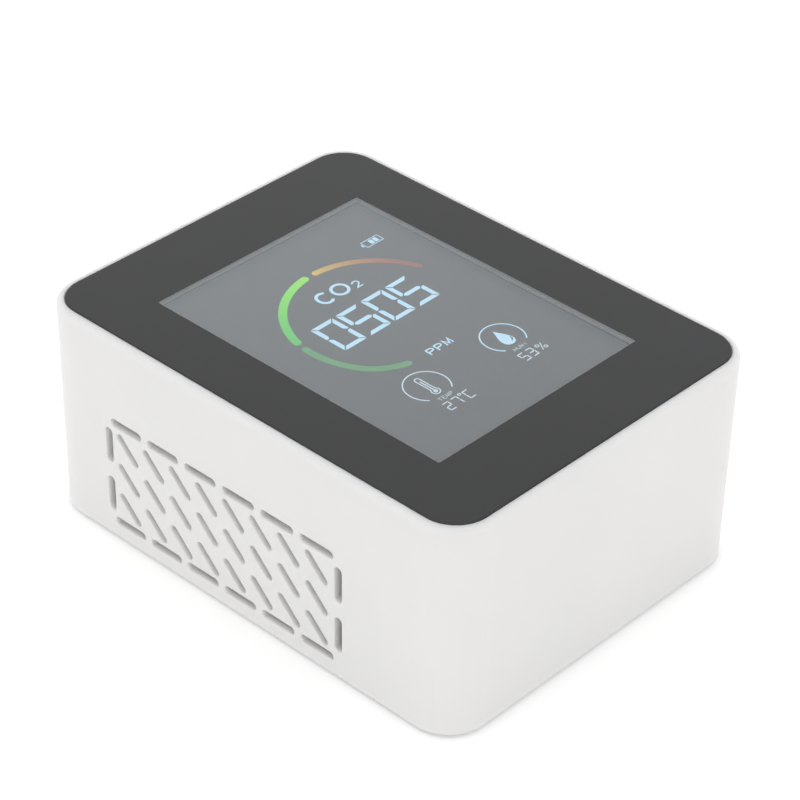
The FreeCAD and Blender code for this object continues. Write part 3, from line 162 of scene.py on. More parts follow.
room = bpy.data.worlds.new("white_room")
room.use_nodes = True
room.node_tree.nodes["Background"].inputs["Color"].default_value = (1.0, 1.0, 1.0, 1.0)
room.node_tree.nodes["Background"].inputs["Strength"].default_value = 1.0
bpy.context.scene.world = room
bpy.context.scene.view_settings.view_transform = "Standard"


def add_lamp(name, place, target, size, watts, colour=(1.0, 1.0, 1.0)):
    """A square soft lamp at place, in metres, that faces target."""
    data = bpy.data.lights.new(name, "AREA")
    data.shape = "SQUARE"
    data.size = size
    data.energy = watts
    data.color = colour
    lamp = bpy.data.objects.new(name, data)
    bpy.context.scene.collection.objects.link(lamp)
    lamp.location = place
    lamp.rotation_euler = (Vector(target) - Vector(place)).to_track_quat("-Z", "Y").to_euler()
    print(name, watts, "W")


add_lamp("overhead_softbox", (-0.1, 0.1, 1.3), (0, 0, 0), 1.2, 2.5)
add_lamp("left_softbox", (-1.3, 0.5, 0.7), (0, 0, 0.02), 0.9, 0.4)

# %% [markdown]
# ## A small kit for materials
# A material in Blender is a graph of nodes that ends in the Principled BSDF, which holds colour, roughness
# and the rest. These helpers keep each graph short to write: `add` makes a node and feeds its sockets at
# once. A value that changes over the surface is linked, and one that is the same all over is set on the
# shader itself.

# %% Helpers for node graphs
def feed(tree, value, socket):
    """Link an output to the socket, or set the socket to a plain value."""
    if isinstance(value, bpy.types.NodeSocket):
        tree.links.new(value, socket)
    elif socket.type == "RGBA" and len(value) == 3:
        socket.default_value = (*value, 1.0)
    else:
        socket.default_value = value


def add(tree, kind, options=None, **inputs):
    """Add a node of that kind. Options are its menus, and inputs its sockets, with _ for a space."""
    made = tree.nodes.new("ShaderNode" + kind)
    for option, value in (options or {}).items():
        setattr(made, option, value)
    for name, value in inputs.items():
        feed(tree, value, made.inputs[name.replace("_", " ")])
    return made


def mixed(tree, share, first, second):
    """The colour that goes from first to second as share goes from 0 to 1."""
    made = tree.nodes.new("ShaderNodeMix")
    made.data_type = "RGBA"
    feed(tree, share, made.inputs[0])
    feed(tree, first, made.inputs[6])
    feed(tree, second, made.inputs[7])
    return made.outputs[2]


def ranged(tree, value, low, high, to_low, to_high):
    """Stretch value from low..high to to_low..to_high, and hold it there outside."""
    made = add(tree, "MapRange", Value=value, From_Min=low, From_Max=high, To_Min=to_low, To_Max=to_high)
    return made.outputs["Result"]


def arithmetic(tree, operation, first, second):
    """One sum on two numbers."""
    made = tree.nodes.new("ShaderNodeMath")
    made.operation = operation
    feed(tree, first, made.inputs[0])
    feed(tree, second, made.inputs[1])
    return made.outputs[0]


def start_group(name, inputs, outputs):
    """A node group with number inputs (and their first values), a Place vector input, and number outputs."""
    tree = bpy.data.node_groups.new(name, "ShaderNodeTree")
    tree.interface.new_socket("Place", in_out="INPUT", socket_type="NodeSocketVector")
    for socket, value in inputs.items():
        made = tree.interface.new_socket(socket, in_out="INPUT", socket_type="NodeSocketFloat")
        made.default_value = value
    for socket in outputs:
        tree.interface.new_socket(socket, in_out="OUTPUT", socket_type="NodeSocketFloat")
    return tree, tree.nodes.new("NodeGroupInput").outputs, tree.nodes.new("NodeGroupOutput").inputs


def use_group(tree, group, place, **values):
    """Put a group into a material, with its own values, and return its outputs."""
    made = tree.nodes.new("ShaderNodeGroup")
    made.node_tree = group
    feed(tree, place, made.inputs["Place"])
    for name, value in values.items():
        feed(tree, value, made.inputs[name.replace("_", " ")])
    return made.outputs


def start_material(slot, **plain):
    """A material with a Principled BSDF whose plain values are set on its own sockets. It returns the
    graph, the shader's inputs and the place on the object, in metres."""
    material = bpy.data.materials.new(slot)
    material.use_nodes = True
    tree = material.node_tree
    shader = tree.nodes["Principled BSDF"]
    for name, value in plain.items():
        feed(tree, value, shader.inputs[name.replace("_", " ")])
    place = tree.nodes.new("ShaderNodeTexCoord").outputs["Object"]
    return material, tree, shader.inputs, place


def stretched(tree, place, scale):
    """Scale the place along X, Y and Z, so that a pattern read from it is drawn out or squeezed."""
    return add(tree, "Mapping", Vector=place, Scale=scale).outputs["Vector"]


def bumped(tree, height, depth, strength=1.0):
    """The surface normal that a height of 0 to 1, worth depth in metres, gives."""
    return add(tree, "Bump", Height=height, Distance=depth, Strength=strength).outputs["Normal"]


# %% [markdown]
# ## Effects that several finishes share
# A mould leaves two marks on plastic: a fine, even texture that was etched into the steel, and a broad,
# faint change of tone where the melt flowed. Rubber and foam have pores instead, drawn metal has long fine
# lines, and anything smooth that was handled carries faint smears and a few specks of dust. Each effect is
# a node group, built once, and each material places it with its own size.

# %% Group: moulded skin
moulded_skin, given, result = start_group("moulded_skin", {"Grain Per Metre": 7000.0, "Flow Per Metre": 30.0},
                                          ["Grain", "Flow"])
grain = add(moulded_skin, "TexNoise", Vector=given["Place"], Scale=given["Grain Per Metre"], Detail=3.0,
            Roughness=0.6)
flow = add(moulded_skin, "TexNoise", Vector=given["Place"], Scale=given["Flow Per Metre"], Detail=2.0,
           Distortion=0.6)
feed(moulded_skin, ranged(moulded_skin, grain.outputs["Fac"], 0.3, 0.7, 0.0, 1.0), result["Grain"])
feed(moulded_skin, ranged(moulded_skin, flow.outputs["Fac"], 0.3, 0.7, 0.0, 1.0), result["Flow"])
print("group:", moulded_skin.name)

# %% Group: pores in rubber and foam
porous_skin, given, result = start_group("porous_skin", {"Pores Per Metre": 3000.0}, ["Pores", "Shade"])
cells = add(porous_skin, "TexVoronoi", Vector=given["Place"], Scale=given["Pores Per Metre"], Randomness=1.0)
fine = add(porous_skin, "TexNoise", Vector=given["Place"], Scale=given["Pores Per Metre"], Detail=2.0)
feed(porous_skin, ranged(porous_skin, cells.outputs["Distance"], 0.1, 0.6, 0.0, 1.0), result["Pores"])
feed(porous_skin, ranged(porous_skin, fine.outputs["Fac"], 0.35, 0.65, 0.0, 1.0), result["Shade"])
print("group:", porous_skin.name)

# %% Group: drawn metal
drawn_metal, given, result = start_group("drawn_metal", {"Lines Per Metre": 5000.0}, ["Lines", "Tarnish"])
lines = add(drawn_metal, "TexNoise", Vector=given["Place"], Scale=given["Lines Per Metre"], Detail=4.0)
patches = add(drawn_metal, "TexNoise", Vector=given["Place"], Scale=160.0, Detail=2.0)
feed(drawn_metal, ranged(drawn_metal, lines.outputs["Fac"], 0.3, 0.7, 0.0, 1.0), result["Lines"])
feed(drawn_metal, ranged(drawn_metal, patches.outputs["Fac"], 0.4, 0.7, 0.0, 1.0), result["Tarnish"])
print("group:", drawn_metal.name)

# %% Group: smears and dust on a smooth surface
handled_gloss, given, result = start_group(
    "handled_gloss", {"Smears Per Metre": 40.0, "Specks Per Metre": 160.0}, ["Smear", "Dust"])
smear = add(handled_gloss, "TexNoise", Vector=given["Place"], Scale=given["Smears Per Metre"], Detail=5.0,
            Roughness=0.65, Distortion=1.2)
specks = add(handled_gloss, "TexVoronoi", Vector=given["Place"], Scale=given["Specks Per Metre"],
             Randomness=1.0)
sparse = add(handled_gloss, "TexNoise", Vector=given["Place"], Scale=55.0, Detail=1.0)
speck_core = ranged(handled_gloss, specks.outputs["Distance"], 0.02, 0.045, 1.0, 0.0)
speck_chance = ranged(handled_gloss, sparse.outputs["Fac"], 0.56, 0.6, 0.0, 1.0)
feed(handled_gloss, ranged(handled_gloss, smear.outputs["Fac"], 0.45, 0.75, 0.0, 1.0), result["Smear"])
feed(handled_gloss, arithmetic(handled_gloss, "MULTIPLY", speck_core, speck_chance), result["Dust"])
print("group:", handled_gloss.name)

# %% Group: copper tracks under a lacquer
copper_tracks, given, result = start_group("copper_tracks", {"Tracks Per Metre": 900.0}, ["Track", "Pad"])
runs = add(copper_tracks, "TexBrick", {"offset": 0.37, "squash": 2.4, "squash_frequency": 3},
           Vector=given["Place"], Scale=given["Tracks Per Metre"], Mortar_Size=0.045, Brick_Width=1.6,
           Row_Height=0.33)
pads = add(copper_tracks, "TexVoronoi", Vector=given["Place"], Scale=given["Tracks Per Metre"],
           Randomness=0.85)
feed(copper_tracks, runs.outputs["Fac"], result["Track"])
feed(copper_tracks, ranged(copper_tracks, pads.outputs["Distance"], 0.10, 0.13, 1.0, 0.0), result["Pad"])
print("group:", copper_tracks.name)

# %% [markdown]
# ## Finishes
# The record names one finish for each CAD part. Each function below is one family of finishes, and its values
# tell the members apart: how coarse the grain is, how deep, how rough, and how far the tone drifts.

# %% Moulded plastics
def moulded_plastic(slot, colour, roughness, grain_mm, depth_mm, drift=0.03, warmth=0.0, **plain):
    """Plastic out of a mould: its tone drifts with the melt's flow, and an etched grain breaks its gloss."""
    material, tree, shader, place = start_material(slot, **plain)
    skin_marks = use_group(tree, moulded_skin, place, Grain_Per_Metre=1.0 / (grain_mm * MM))
    darker = [c * (1 - drift) for c in colour]
    lighter = [c * (1 + drift * (1 + warmth * w)) for c, w in zip(colour, (1, 0, -1))]
    feed(tree, mixed(tree, skin_marks["Flow"], darker, [min(1.0, c) for c in lighter]), shader["Base Color"])
    feed(tree, ranged(tree, skin_marks["Flow"], 0, 1, roughness - 0.03, roughness + 0.03),
         shader["Roughness"])
    feed(tree, bumped(tree, skin_marks["Grain"], depth_mm * MM), shader["Normal"])
    return material


moulded = {
    "white_plastic": moulded_plastic("white_plastic", (0.735, 0.727, 0.722), 0.42, 0.16, 0.006, 0.012, 0.5,
                                     Subsurface_Weight=0.8, Subsurface_Radius=(0.0042, 0.0040, 0.0038),
                                     Subsurface_Scale=1.0),
    "button_plastic": moulded_plastic("button_plastic", (0.715, 0.708, 0.703), 0.36, 0.12, 0.004, 0.012),
    "tray_plastic": moulded_plastic("tray_plastic", (0.82, 0.82, 0.81), 0.40, 0.2, 0.006),
    "chip_black": moulded_plastic("chip_black", (0.022, 0.022, 0.024), 0.48, 0.06, 0.005, 0.2),
    "connector_plastic": moulded_plastic("connector_plastic", (0.74, 0.70, 0.60), 0.38, 0.1, 0.003, 0.04),
    "connector_black": moulded_plastic("connector_black", (0.018, 0.018, 0.019), 0.36, 0.1, 0.003, 0.2),
    "capacitor_ceramic": moulded_plastic("capacitor_ceramic", (0.36, 0.24, 0.13), 0.32, 0.05, 0.002, 0.1),
    "wire_red": moulded_plastic("wire_red", (0.48, 0.015, 0.012), 0.34, 0.25, 0.004, 0.06),
    "wire_black": moulded_plastic("wire_black", (0.014, 0.014, 0.015), 0.34, 0.25, 0.004, 0.2),
    "diffuser_film": moulded_plastic("diffuser_film", (0.86, 0.87, 0.88), 0.62, 0.04, 0.004, 0.01),
    "light_guide": moulded_plastic("light_guide", (0.84, 0.88, 0.90), 0.10, 0.5, 0.004, 0.02),
    "reflector_film": moulded_plastic("reflector_film", (0.88, 0.89, 0.90), 0.18, 0.3, 0.002, 0.01),
}
print("moulded finishes:", len(moulded))


# %% Rubber, foam, tape and the porous membrane
def porous(slot, colour, roughness, pore_mm, depth_mm, shade=0.3, **plain):
    """Rubber, foam or felt: small pores over a matt ground, with painted shade that makes them darker inside.
    """
    material, tree, shader, place = start_material(slot, **plain)
    marks = use_group(tree, porous_skin, place, Pores_Per_Metre=1.0 / (pore_mm * MM))
    # Painted shade: each pore is darkened towards its middle, by the share given as shade.
    darker = [c * (1 - shade) for c in colour]
    feed(tree, mixed(tree, marks["Pores"], darker, colour), shader["Base Color"])
    feed(tree, ranged(tree, marks["Shade"], 0, 1, roughness - 0.05, roughness + 0.05), shader["Roughness"])
    feed(tree, bumped(tree, marks["Pores"], depth_mm * MM), shader["Normal"])
    return material


porous_finishes = {
    "foot_rubber": porous("foot_rubber", (0.075, 0.075, 0.078), 0.72, 0.25, 0.012),
    # Painted light: the gasket foam glows faintly cool white, so its wall shows as a thin bright line along
    # the window's far edges.
    "gasket_foam": porous("gasket_foam", (0.50, 0.51, 0.52), 0.85, 0.3, 0.02, 0.12,
                          Emission_Color=(0.88, 0.95, 1.0), Emission_Strength=0.10),
    "black_foam": porous("black_foam", (0.025, 0.025, 0.027), 0.9, 0.35, 0.04),
    "black_tape": porous("black_tape", (0.02, 0.02, 0.021), 0.6, 0.15, 0.006),
    "membrane_white": porous("membrane_white", (0.84, 0.84, 0.82), 0.8, 0.12, 0.01, 0.15),
}
print("porous finishes:", len(porous_finishes))


# %% Metals
def metal(slot, colour, roughness, stretch, lines_mm=0.2, depth_mm=0.003, tarnish=0.12):
    """Plated or rolled metal: lines run the way it was drawn, and the plating dulls in patches."""
    material, tree, shader, place = start_material(slot, Metallic=1.0)
    marks = use_group(tree, drawn_metal, stretched(tree, place, stretch),
                      Lines_Per_Metre=1.0 / (lines_mm * MM))
    dull = [c * (1 - tarnish) for c in colour]
    feed(tree, mixed(tree, marks["Tarnish"], colour, dull), shader["Base Color"])
    feed(tree, ranged(tree, marks["Lines"], 0, 1, roughness - 0.06, roughness + 0.08), shader["Roughness"])
    feed(tree, bumped(tree, marks["Lines"], depth_mm * MM), shader["Normal"])
    return material


metals = {
    "screw_steel": metal("screw_steel", (0.56, 0.56, 0.57), 0.30, (1, 1, 0.15)),
    "socket_steel": metal("socket_steel", (0.63, 0.63, 0.64), 0.26, (0.1, 1, 1)),
    "gilded_contacts": metal("gilded_contacts", (0.86, 0.62, 0.24), 0.22, (0.3, 1, 1), 0.08),
    "gilded_chamber": metal("gilded_chamber", (0.83, 0.60, 0.26), 0.24, (1, 0.1, 1)),
    "battery_foil": metal("battery_foil", (0.66, 0.67, 0.69), 0.38, (1, 1, 1), 1.4, 0.05),
}
print("metals:", len(metals))


# %% Circuit boards and the ribbon cable
def tracked_board(slot, ground, over_copper, pad, tracks_mm, roughness):
    """Lacquer over copper: the tracks show as a paler tone and stand up a little, and the pads are bare."""
    material, tree, shader, place = start_material(slot)
    marks = use_group(tree, copper_tracks, place, Tracks_Per_Metre=1.0 / (tracks_mm * MM))
    lacquer = mixed(tree, marks["Track"], ground, over_copper)
    feed(tree, mixed(tree, marks["Pad"], lacquer, pad), shader["Base Color"])
    feed(tree, ranged(tree, marks["Pad"], 0, 1, roughness, 0.2), shader["Roughness"])
    feed(tree, bumped(tree, marks["Track"], 0.03 * MM, 0.6), shader["Normal"])
    return material


boards = {
    "board_laminate": tracked_board("board_laminate", (0.010, 0.085, 0.035), (0.020, 0.15, 0.055),
                                    (0.62, 0.52, 0.34), 2.6, 0.34),
    "ribbon_film": tracked_board("ribbon_film", (0.42, 0.17, 0.03), (0.55, 0.24, 0.05),
                                 (0.66, 0.42, 0.14), 1.2, 0.25),
}
print("boards:", len(boards))

# %% [markdown]
# ## Glass and the display's surface
# The front glass is clear in the middle and backed by black ink round it. Light that enters over the ink
# never comes back, so there the glass is only its own mirror: a near-black ground under a polished face.
# That is what the border's finish says, and the clear middle is real glass, which bends what lies behind
# it. Behind the window lies the display, whose dark polarizer film lets a little of the backlight through:
# that even, cool grey glow is what sets the window off from the border.

# %% Glass and ink
def clear_glass(slot, tint, roughness):
    """Polished glass with faint smears."""
    material, tree, shader, place = start_material(slot, Transmission_Weight=1.0, IOR=1.5)
    marks = use_group(tree, handled_gloss, place)
    feed(tree, mixed(tree, marks["Smear"], tint, [c * 0.985 for c in tint]), shader["Base Color"])
    feed(tree, ranged(tree, marks["Smear"], 0, 1, roughness, roughness + 0.02), shader["Roughness"])
    return material


def inked_glass(name, colour, dust_colour, roughness):
    """Glass backed by black ink: a mirror over a near-black ground, with smears that take off its edge."""
    material, tree, shader, place = start_material(name, IOR=1.5)
    marks = use_group(tree, handled_gloss, place)
    hazed = mixed(tree, marks["Smear"], colour, [c * 1.5 for c in colour])
    feed(tree, mixed(tree, marks["Dust"], hazed, dust_colour), shader["Base Color"])
    feed(tree, ranged(tree, marks["Smear"], 0, 1, roughness, roughness + 0.05), shader["Roughness"])
    return material


def printed_ink(slot, colour):
    """Screen-printed ink, seen through the glass that it is bonded to."""
    material, tree, shader, place = start_material(slot, Specular_IOR_Level=0.0)
    marks = use_group(tree, moulded_skin, place, Grain_Per_Metre=9000.0, Flow_Per_Metre=60.0)
    feed(tree, mixed(tree, marks["Flow"], [c * 0.85 for c in colour], colour), shader["Base Color"])
    feed(tree, ranged(tree, marks["Grain"], 0, 1, 0.5, 0.6), shader["Roughness"])
    return material


def display_film(slot, colour, glow, strength, gloss=0.5):
    """The dark film over the display. The backlight leaks through it as a soft glow, which fades from the end
    at +Y, where its lamps are strongest, to the other end, and drifts a little on the way."""
    material, tree, shader, place = start_material(slot, Emission_Strength=strength, Specular_IOR_Level=gloss)
    marks = use_group(tree, moulded_skin, place, Grain_Per_Metre=2500.0, Flow_Per_Metre=24.0)
    height = add(tree, "SeparateXYZ", Vector=place).outputs["Y"]
    spread = ranged(tree, height, -33 * MM, 33 * MM, 0.0, 1.0)
    share = arithmetic(tree, "ADD", spread, ranged(tree, marks["Flow"], 0, 1, -0.04, 0.04))
    feed(tree, mixed(tree, share, [c * 0.55 for c in glow], glow), shader["Emission Color"])
    feed(tree, mixed(tree, marks["Flow"], [c * 0.95 for c in colour], colour), shader["Base Color"])
    feed(tree, ranged(tree, marks["Flow"], 0, 1, 0.30, 0.33), shader["Roughness"])
    return material


clear = {
    "cover_glass": clear_glass("cover_glass", (0.985, 0.99, 0.99), 0.015),
    "display_glass": clear_glass("display_glass", (0.80, 0.85, 0.87), 0.03),
    "border_ink": printed_ink("border_ink", (0.006, 0.006, 0.0065)),
    "polarizer_film": display_film("polarizer_film", (0.020, 0.023, 0.027), (0.78, 0.91, 1.0), 0.145, 0.15),
    "lamp": display_film("lamp", (0.70, 0.60, 0.30), (1.0, 0.95, 0.85), 0.6),
}
print("clear finishes:", len(clear))

# %% [markdown]
# ## Dress the CAD parts
# Each CAD part keeps its own mesh. Its material is swapped for the one that the record names for it.

# %% Give each CAD part its finish
finishes = {**moulded, **porous_finishes, **metals, **boards, **clear}
for part in frame["record"]["subparts"]:
    cad_mesh = frame["nodes"][part["node"]].data
    cad_mesh.materials.clear()
    cad_mesh.materials.append(finishes[part["material_slot"]])

floor_material, tree, shader, place = start_material("floor_paint", Specular_IOR_Level=0.2,
                                                     Emission_Color=(1.0, 1.0, 1.0), Emission_Strength=0.12)
marks = use_group(tree, moulded_skin, place, Grain_Per_Metre=900.0, Flow_Per_Metre=3.0)
feed(tree, mixed(tree, marks["Flow"], (0.95, 0.95, 0.95), (0.96, 0.96, 0.96)), shader["Base Color"])
feed(tree, ranged(tree, marks["Grain"], 0, 1, 0.75, 0.8), shader["Roughness"])
studio_floor.data.materials.append(floor_material)

# %% [markdown]
# ## The front glass
# The pane and the ink behind it are made as one piece. It is cut to a rounded rectangle and its edges are
# ground round, so it catches a thin line of light. Its loops are all the same rounded rectangle, pulled in
# by an inset: the insets follow a quarter circle at the bottom and another at the top. The last loop is the
# clear window's outline. So the faces between loops are backed by ink, and the two end faces are clear.

# %% Grind the front glass
def rounded_rectangle(half_x, half_y, radius, count=16):
    """Corner points of a rectangle with round corners, anticlockwise: centre of the corner's circle plus
    radius times (cos a, sin a), where a runs over a quarter turn at each corner."""
    quarter = np.linspace(0, math.pi / 2, count)
    turns = np.arange(4)[:, None] * math.pi / 2
    centres = np.array([(1, 1), (-1, 1), (-1, -1), (1, -1)]) * (half_x - radius, half_y - radius)
    angles = quarter + turns
    points = centres[:, None, :] + radius * np.stack([np.cos(angles), np.sin(angles)], -1)
    return points.reshape(-1, 2)


def lifted(outline, height):
    """A flat outline as points in space, all at one height."""
    return np.column_stack([outline, np.full(len(outline), height)])


def points_of(node):
    """All the points of a CAD part's mesh, as one array."""
    vertices = frame["nodes"][node].data.vertices
    places = np.empty(len(vertices) * 3, np.float32)
    vertices.foreach_get("co", places)
    return places.reshape(-1, 3).astype(float)


glass_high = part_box("cover_glass")[1]
ink_low, ink_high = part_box("border_print")
glass_points, ink_points = points_of("cover_glass"), points_of("border_print")
at_side = glass_points[glass_points[:, 0] > glass_high.x - 0.001 * MM]
glass_corner = glass_high.y - at_side[:, 1].max()
inner_ink = ink_points[(np.abs(ink_points[:, :2]) < np.array(ink_high)[:2] * 0.8).all(1)]
window_half = np.abs(inner_ink).max(0)
print("glass corner", round(glass_corner / MM, 2), "mm, window", (window_half[:2] * 2 / MM).round(2), "mm")

edge_radius = 0.25 * MM
steps = np.linspace(0, math.pi / 2, 6)
insets = edge_radius * np.concatenate([1 - np.sin(steps), 1 - np.cos(steps), [1.3]])
heights = np.concatenate([ink_low.z + edge_radius * (1 - np.cos(steps)),
                          glass_high.z - edge_radius * (1 - np.sin(steps)), [glass_high.z]])
pane_loops = [lifted(rounded_rectangle(glass_high.x - inset, glass_high.y - inset, glass_corner - inset),
                     height)
              for inset, height in zip(insets, heights)]
window_loop = lifted(rounded_rectangle(window_half[0], window_half[1], 0.4 * MM), glass_high.z)
front_glass = make_piece("front_glass", [skin(np.stack([*pane_loops, window_loop]))])
front_glass.data.materials.append(finishes["cover_glass"])
front_glass.data.materials.append(
    inked_glass("inked_glass", (0.0042, 0.0047, 0.0058), (0.2, 0.19, 0.18), 0.02))
inked_faces = np.ones(len(front_glass.data.polygons), int)
inked_faces[-2:] = 0
front_glass.data.polygons.foreach_set("material_index", inked_faces)
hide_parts("cover_glass", "border_print")

# %% [markdown]
# ## The picture on the display
# A liquid-crystal panel shows its picture in a layer between two sheets of glass. From outside, the lit
# marks look like thin bright shapes just under the front film, so that is how they are made: slabs two
# hundredths of a millimetre thick that give off light. The picture holds a gas reading in seven-bar
# numerals inside a coloured gauge, a battery mark, and two small dials for warmth and damp.
#
# The marks are laid out in millimetres on the panel, in `on_panel`, which also gives the picture its slight
# climb to the right. Everything else is one of two shapes: a slab cut to an outline, or a ribbon along a
# path.

# %% Slabs and ribbons
panel_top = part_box("lcd_front_polarizer")[1].z
mark_low = panel_top + 0.005 * MM
mark_high = panel_top + 0.025 * MM
picture_shift = np.array([1.4, 1.3])
picture_climb = 0.02


def on_panel(flat, height):
    """Points laid out in mm on the panel become places in metres: y gains climb times x, then both shift."""
    x, y = flat[:, 0], flat[:, 1]
    moved = np.stack([x, y + picture_climb * x], -1) + picture_shift
    return lifted(moved * MM, height)


def slab(outline):
    """A thin slab cut to an outline (anticlockwise, in mm)."""
    outline = np.asarray(outline, float)
    return skin(np.stack([on_panel(outline, mark_low), on_panel(outline, mark_high)]))


def ribbon(path, half_width, closed=False, lift=0.0):
    """A flat band along a path in mm. At each point it reaches half_width to the left and right of the
    path's direction, and at a corner it is drawn out by 1 / cos(half the turn), so the band keeps its width.
    Its faces lie at the height of the other marks, raised by lift, which is in metres."""
    path = np.asarray(path, float)
    ahead = np.roll(path, -1, 0) - path
    behind = path - np.roll(path, 1, 0)
    if not closed:
        ahead[-1], behind[0] = behind[-1], ahead[0]
    ahead /= np.linalg.norm(ahead, axis=1)[:, None]
    behind /= np.linalg.norm(behind, axis=1)[:, None]
    along = ahead + behind
    along /= np.linalg.norm(along, axis=1)[:, None]
    reach = np.broadcast_to(half_width, len(path)) / np.maximum(0.4, (along * ahead).sum(1))
    side = np.stack([-along[:, 1], along[:, 0]], -1) * reach[:, None]
    left, right = path + side, path - side
    low, high = mark_low + lift, mark_high + lift
    corners = [on_panel(right, low), on_panel(left, low), on_panel(left, high), on_panel(right, high)]
    return skin(np.stack(corners, 1), wrapped=closed)


def arc(centre, radius, start, end, count=24):
    """Points on a circle or an ellipse, from one angle to another, in degrees."""
    angles = np.radians(np.linspace(start, end, count))
    return np.asarray(centre) + np.stack([np.cos(angles), np.sin(angles)], -1) * radius


def round_ended(centre, radius, start, end, half_width, closing=0.0, count=64):
    """A band along a circle with half-round ends. Near an end, at distance half_width x (1 - cos u) from
    it, the band is half_width x sin u wide each way, which is a half circle. Over its last 30 degrees the
    band comes in towards the centre, by closing."""
    u = np.linspace(0.06, math.pi / 2, 9)
    end_angle = math.degrees(half_width / radius) * (1 - np.cos(u)) * (1 if end > start else -1)
    middle = np.linspace(start + end_angle[-1], end - end_angle[-1], count)
    degrees = np.concatenate([start + end_angle, middle[1:-1], (end - end_angle)[::-1]])
    widths = np.concatenate([np.sin(u), np.ones(count - 2), np.sin(u)[::-1]]) * half_width
    angles = np.radians(degrees)
    pulled = radius - closing * np.clip(1 - (end - degrees) / 30, 0, 1) ** 1.4
    path = np.asarray(centre) + np.stack([np.cos(angles), np.sin(angles)], -1) * pulled[:, None]
    return ribbon(path, widths)


print("panel top at", round(panel_top / MM, 3), "mm")

# %% Seven-bar numerals
BARS = {"0": "abcdef", "2": "abged", "3": "abgcd", "5": "afgcd", "7": "abc", "C": "adef"}


def bars(width, height, stroke, gap):
    """The seven bars of a numeral, as outlines that meet on 45 degree mitres with a gap between them. Bar a
    is the top one, b to f go clockwise from it, and g is the middle one."""
    w, h, s, g = width, height, stroke, gap
    half = h / 2
    top = [(g, h), (s + g, h - s), (w - s - g, h - s), (w - g, h)]
    upper_left = [(0, h - g), (0, half + g), (s / 2, half + g), (s, half + s / 2 + g), (s, h - s - g)]
    middle = [(s / 2 + g, half), (s + g, half - s / 2), (w - s - g, half - s / 2), (w - s / 2 - g, half),
              (w - s - g, half + s / 2), (s + g, half + s / 2)]

    def mirrored(outline, x_way, y_way):
        """The outline turned over left to right or top to bottom, still anticlockwise."""
        turned = [(w - x if x_way else x, h - y if y_way else y) for x, y in outline]
        return turned if x_way == y_way else turned[::-1]

    return {"a": top, "f": upper_left, "g": middle, "b": mirrored(upper_left, True, False),
            "c": mirrored(upper_left, True, True), "e": mirrored(upper_left, False, True),
            "d": mirrored(top, False, True)}


def numeral(sign, left, bottom, width, height, stroke, gap):
    """The lit bars of one numeral, with its lower left corner at (left, bottom)."""
    outlines = bars(width, height, stroke, gap)
    return [slab(np.array(outlines[bar]) + (left, bottom)) for bar in BARS[sign]]


print("numerals:", " ".join(BARS))

# %% Plain letters
def letter(sign, left, bottom, width, height, half_width):
    """The strokes of one plain letter, as paths in a box one unit wide and high, stretched to its size."""
    bowl = arc((0.45, 0.74), (0.5, 0.26), 90, -90, 10)
    strokes = {
        "C": [arc((0.5, 0.5), (0.5, 0.5), 48, 312, 28)],
        "O": [arc((0.5, 0.5), (0.5, 0.5), 0, 348, 30)],
        "P": [[(0, 0), (0, 1)], [(0, 1), *bowl, (0, 0.48)]],
        "M": [[(0, 0), (0.04, 1), (0.5, 0.15), (0.96, 1), (1, 0)]],
        "T": [[(0, 1), (1, 1)], [(0.5, 1), (0.5, 0)]],
        "E": [[(1, 1), (0, 1), (0, 0), (1, 0)], [(0, 0.5), (0.8, 0.5)]],
        "H": [[(0, 0), (0, 1)], [(1, 0), (1, 1)], [(0, 0.5), (1, 0.5)]],
        "U": [[(0, 1), (0, 0.3), *arc((0.5, 0.3), (0.5, 0.3), 190, 350, 9), (1, 0.3), (1, 1)]],
        "I": [[(0.5, 0), (0.5, 1)]],
        "2": [[*arc((0.5, 0.7), (0.5, 0.3), 165, -35, 12), (0.05, 0.03), (1, 0.03)]],
    }[sign]
    closed = sign == "O"
    return [ribbon(np.array(path) * (width, height) + (left, bottom), half_width, closed) for path in strokes]


def word(signs, left, bottom, width, height, space, half_width):
    """Letters side by side."""
    return [part for i, sign in enumerate(signs)
            for part in letter(sign, left + i * (width + space), bottom, width, height, half_width)]


# %% [markdown]
# ## What the marks are made of
# A lit mark gives off its own light: a cool white for the figures. The gauge changes colour along its
# length, as a printed colour filter does, so its material reads the angle round the gauge's centre. A
# Mapping node moves the pattern's centre there, and a colour ramp turns the angle into the colour.

# %% Materials for lit marks
def lit_material(name, colour, strength):
    """Light that comes through a clear figure in the panel, a little uneven like the backlight."""
    material, tree, shader, place = start_material(name, Emission_Strength=strength, Roughness=0.4)
    marks = use_group(tree, moulded_skin, place, Grain_Per_Metre=2600.0, Flow_Per_Metre=150.0)
    feed(tree, mixed(tree, marks["Grain"], [c * 0.90 for c in colour], colour), shader["Emission Color"])
    feed(tree, mixed(tree, marks["Flow"], (0.05, 0.06, 0.07), (0.07, 0.08, 0.09)), shader["Base Color"])
    return material


gauge_centre = np.array([0.0, 3.85])
gauge_radius = 16.6
# Angle in degrees, anticlockwise from +X, and the colour there.
GAUGE_COLOURS = [(15, (0.18, 0.055, 0.05)), (35, (0.23, 0.08, 0.05)), (60, (0.36, 0.19, 0.06)),
                 (88, (0.60, 0.41, 0.06)), (92, (0.24, 0.70, 0.05)), (115, (0.17, 0.66, 0.06)),
                 (150, (0.07, 0.52, 0.07)), (169, (0.045, 0.48, 0.075)), (172, (0.045, 0.27, 0.08)),
                 (245, (0.04, 0.24, 0.08))]


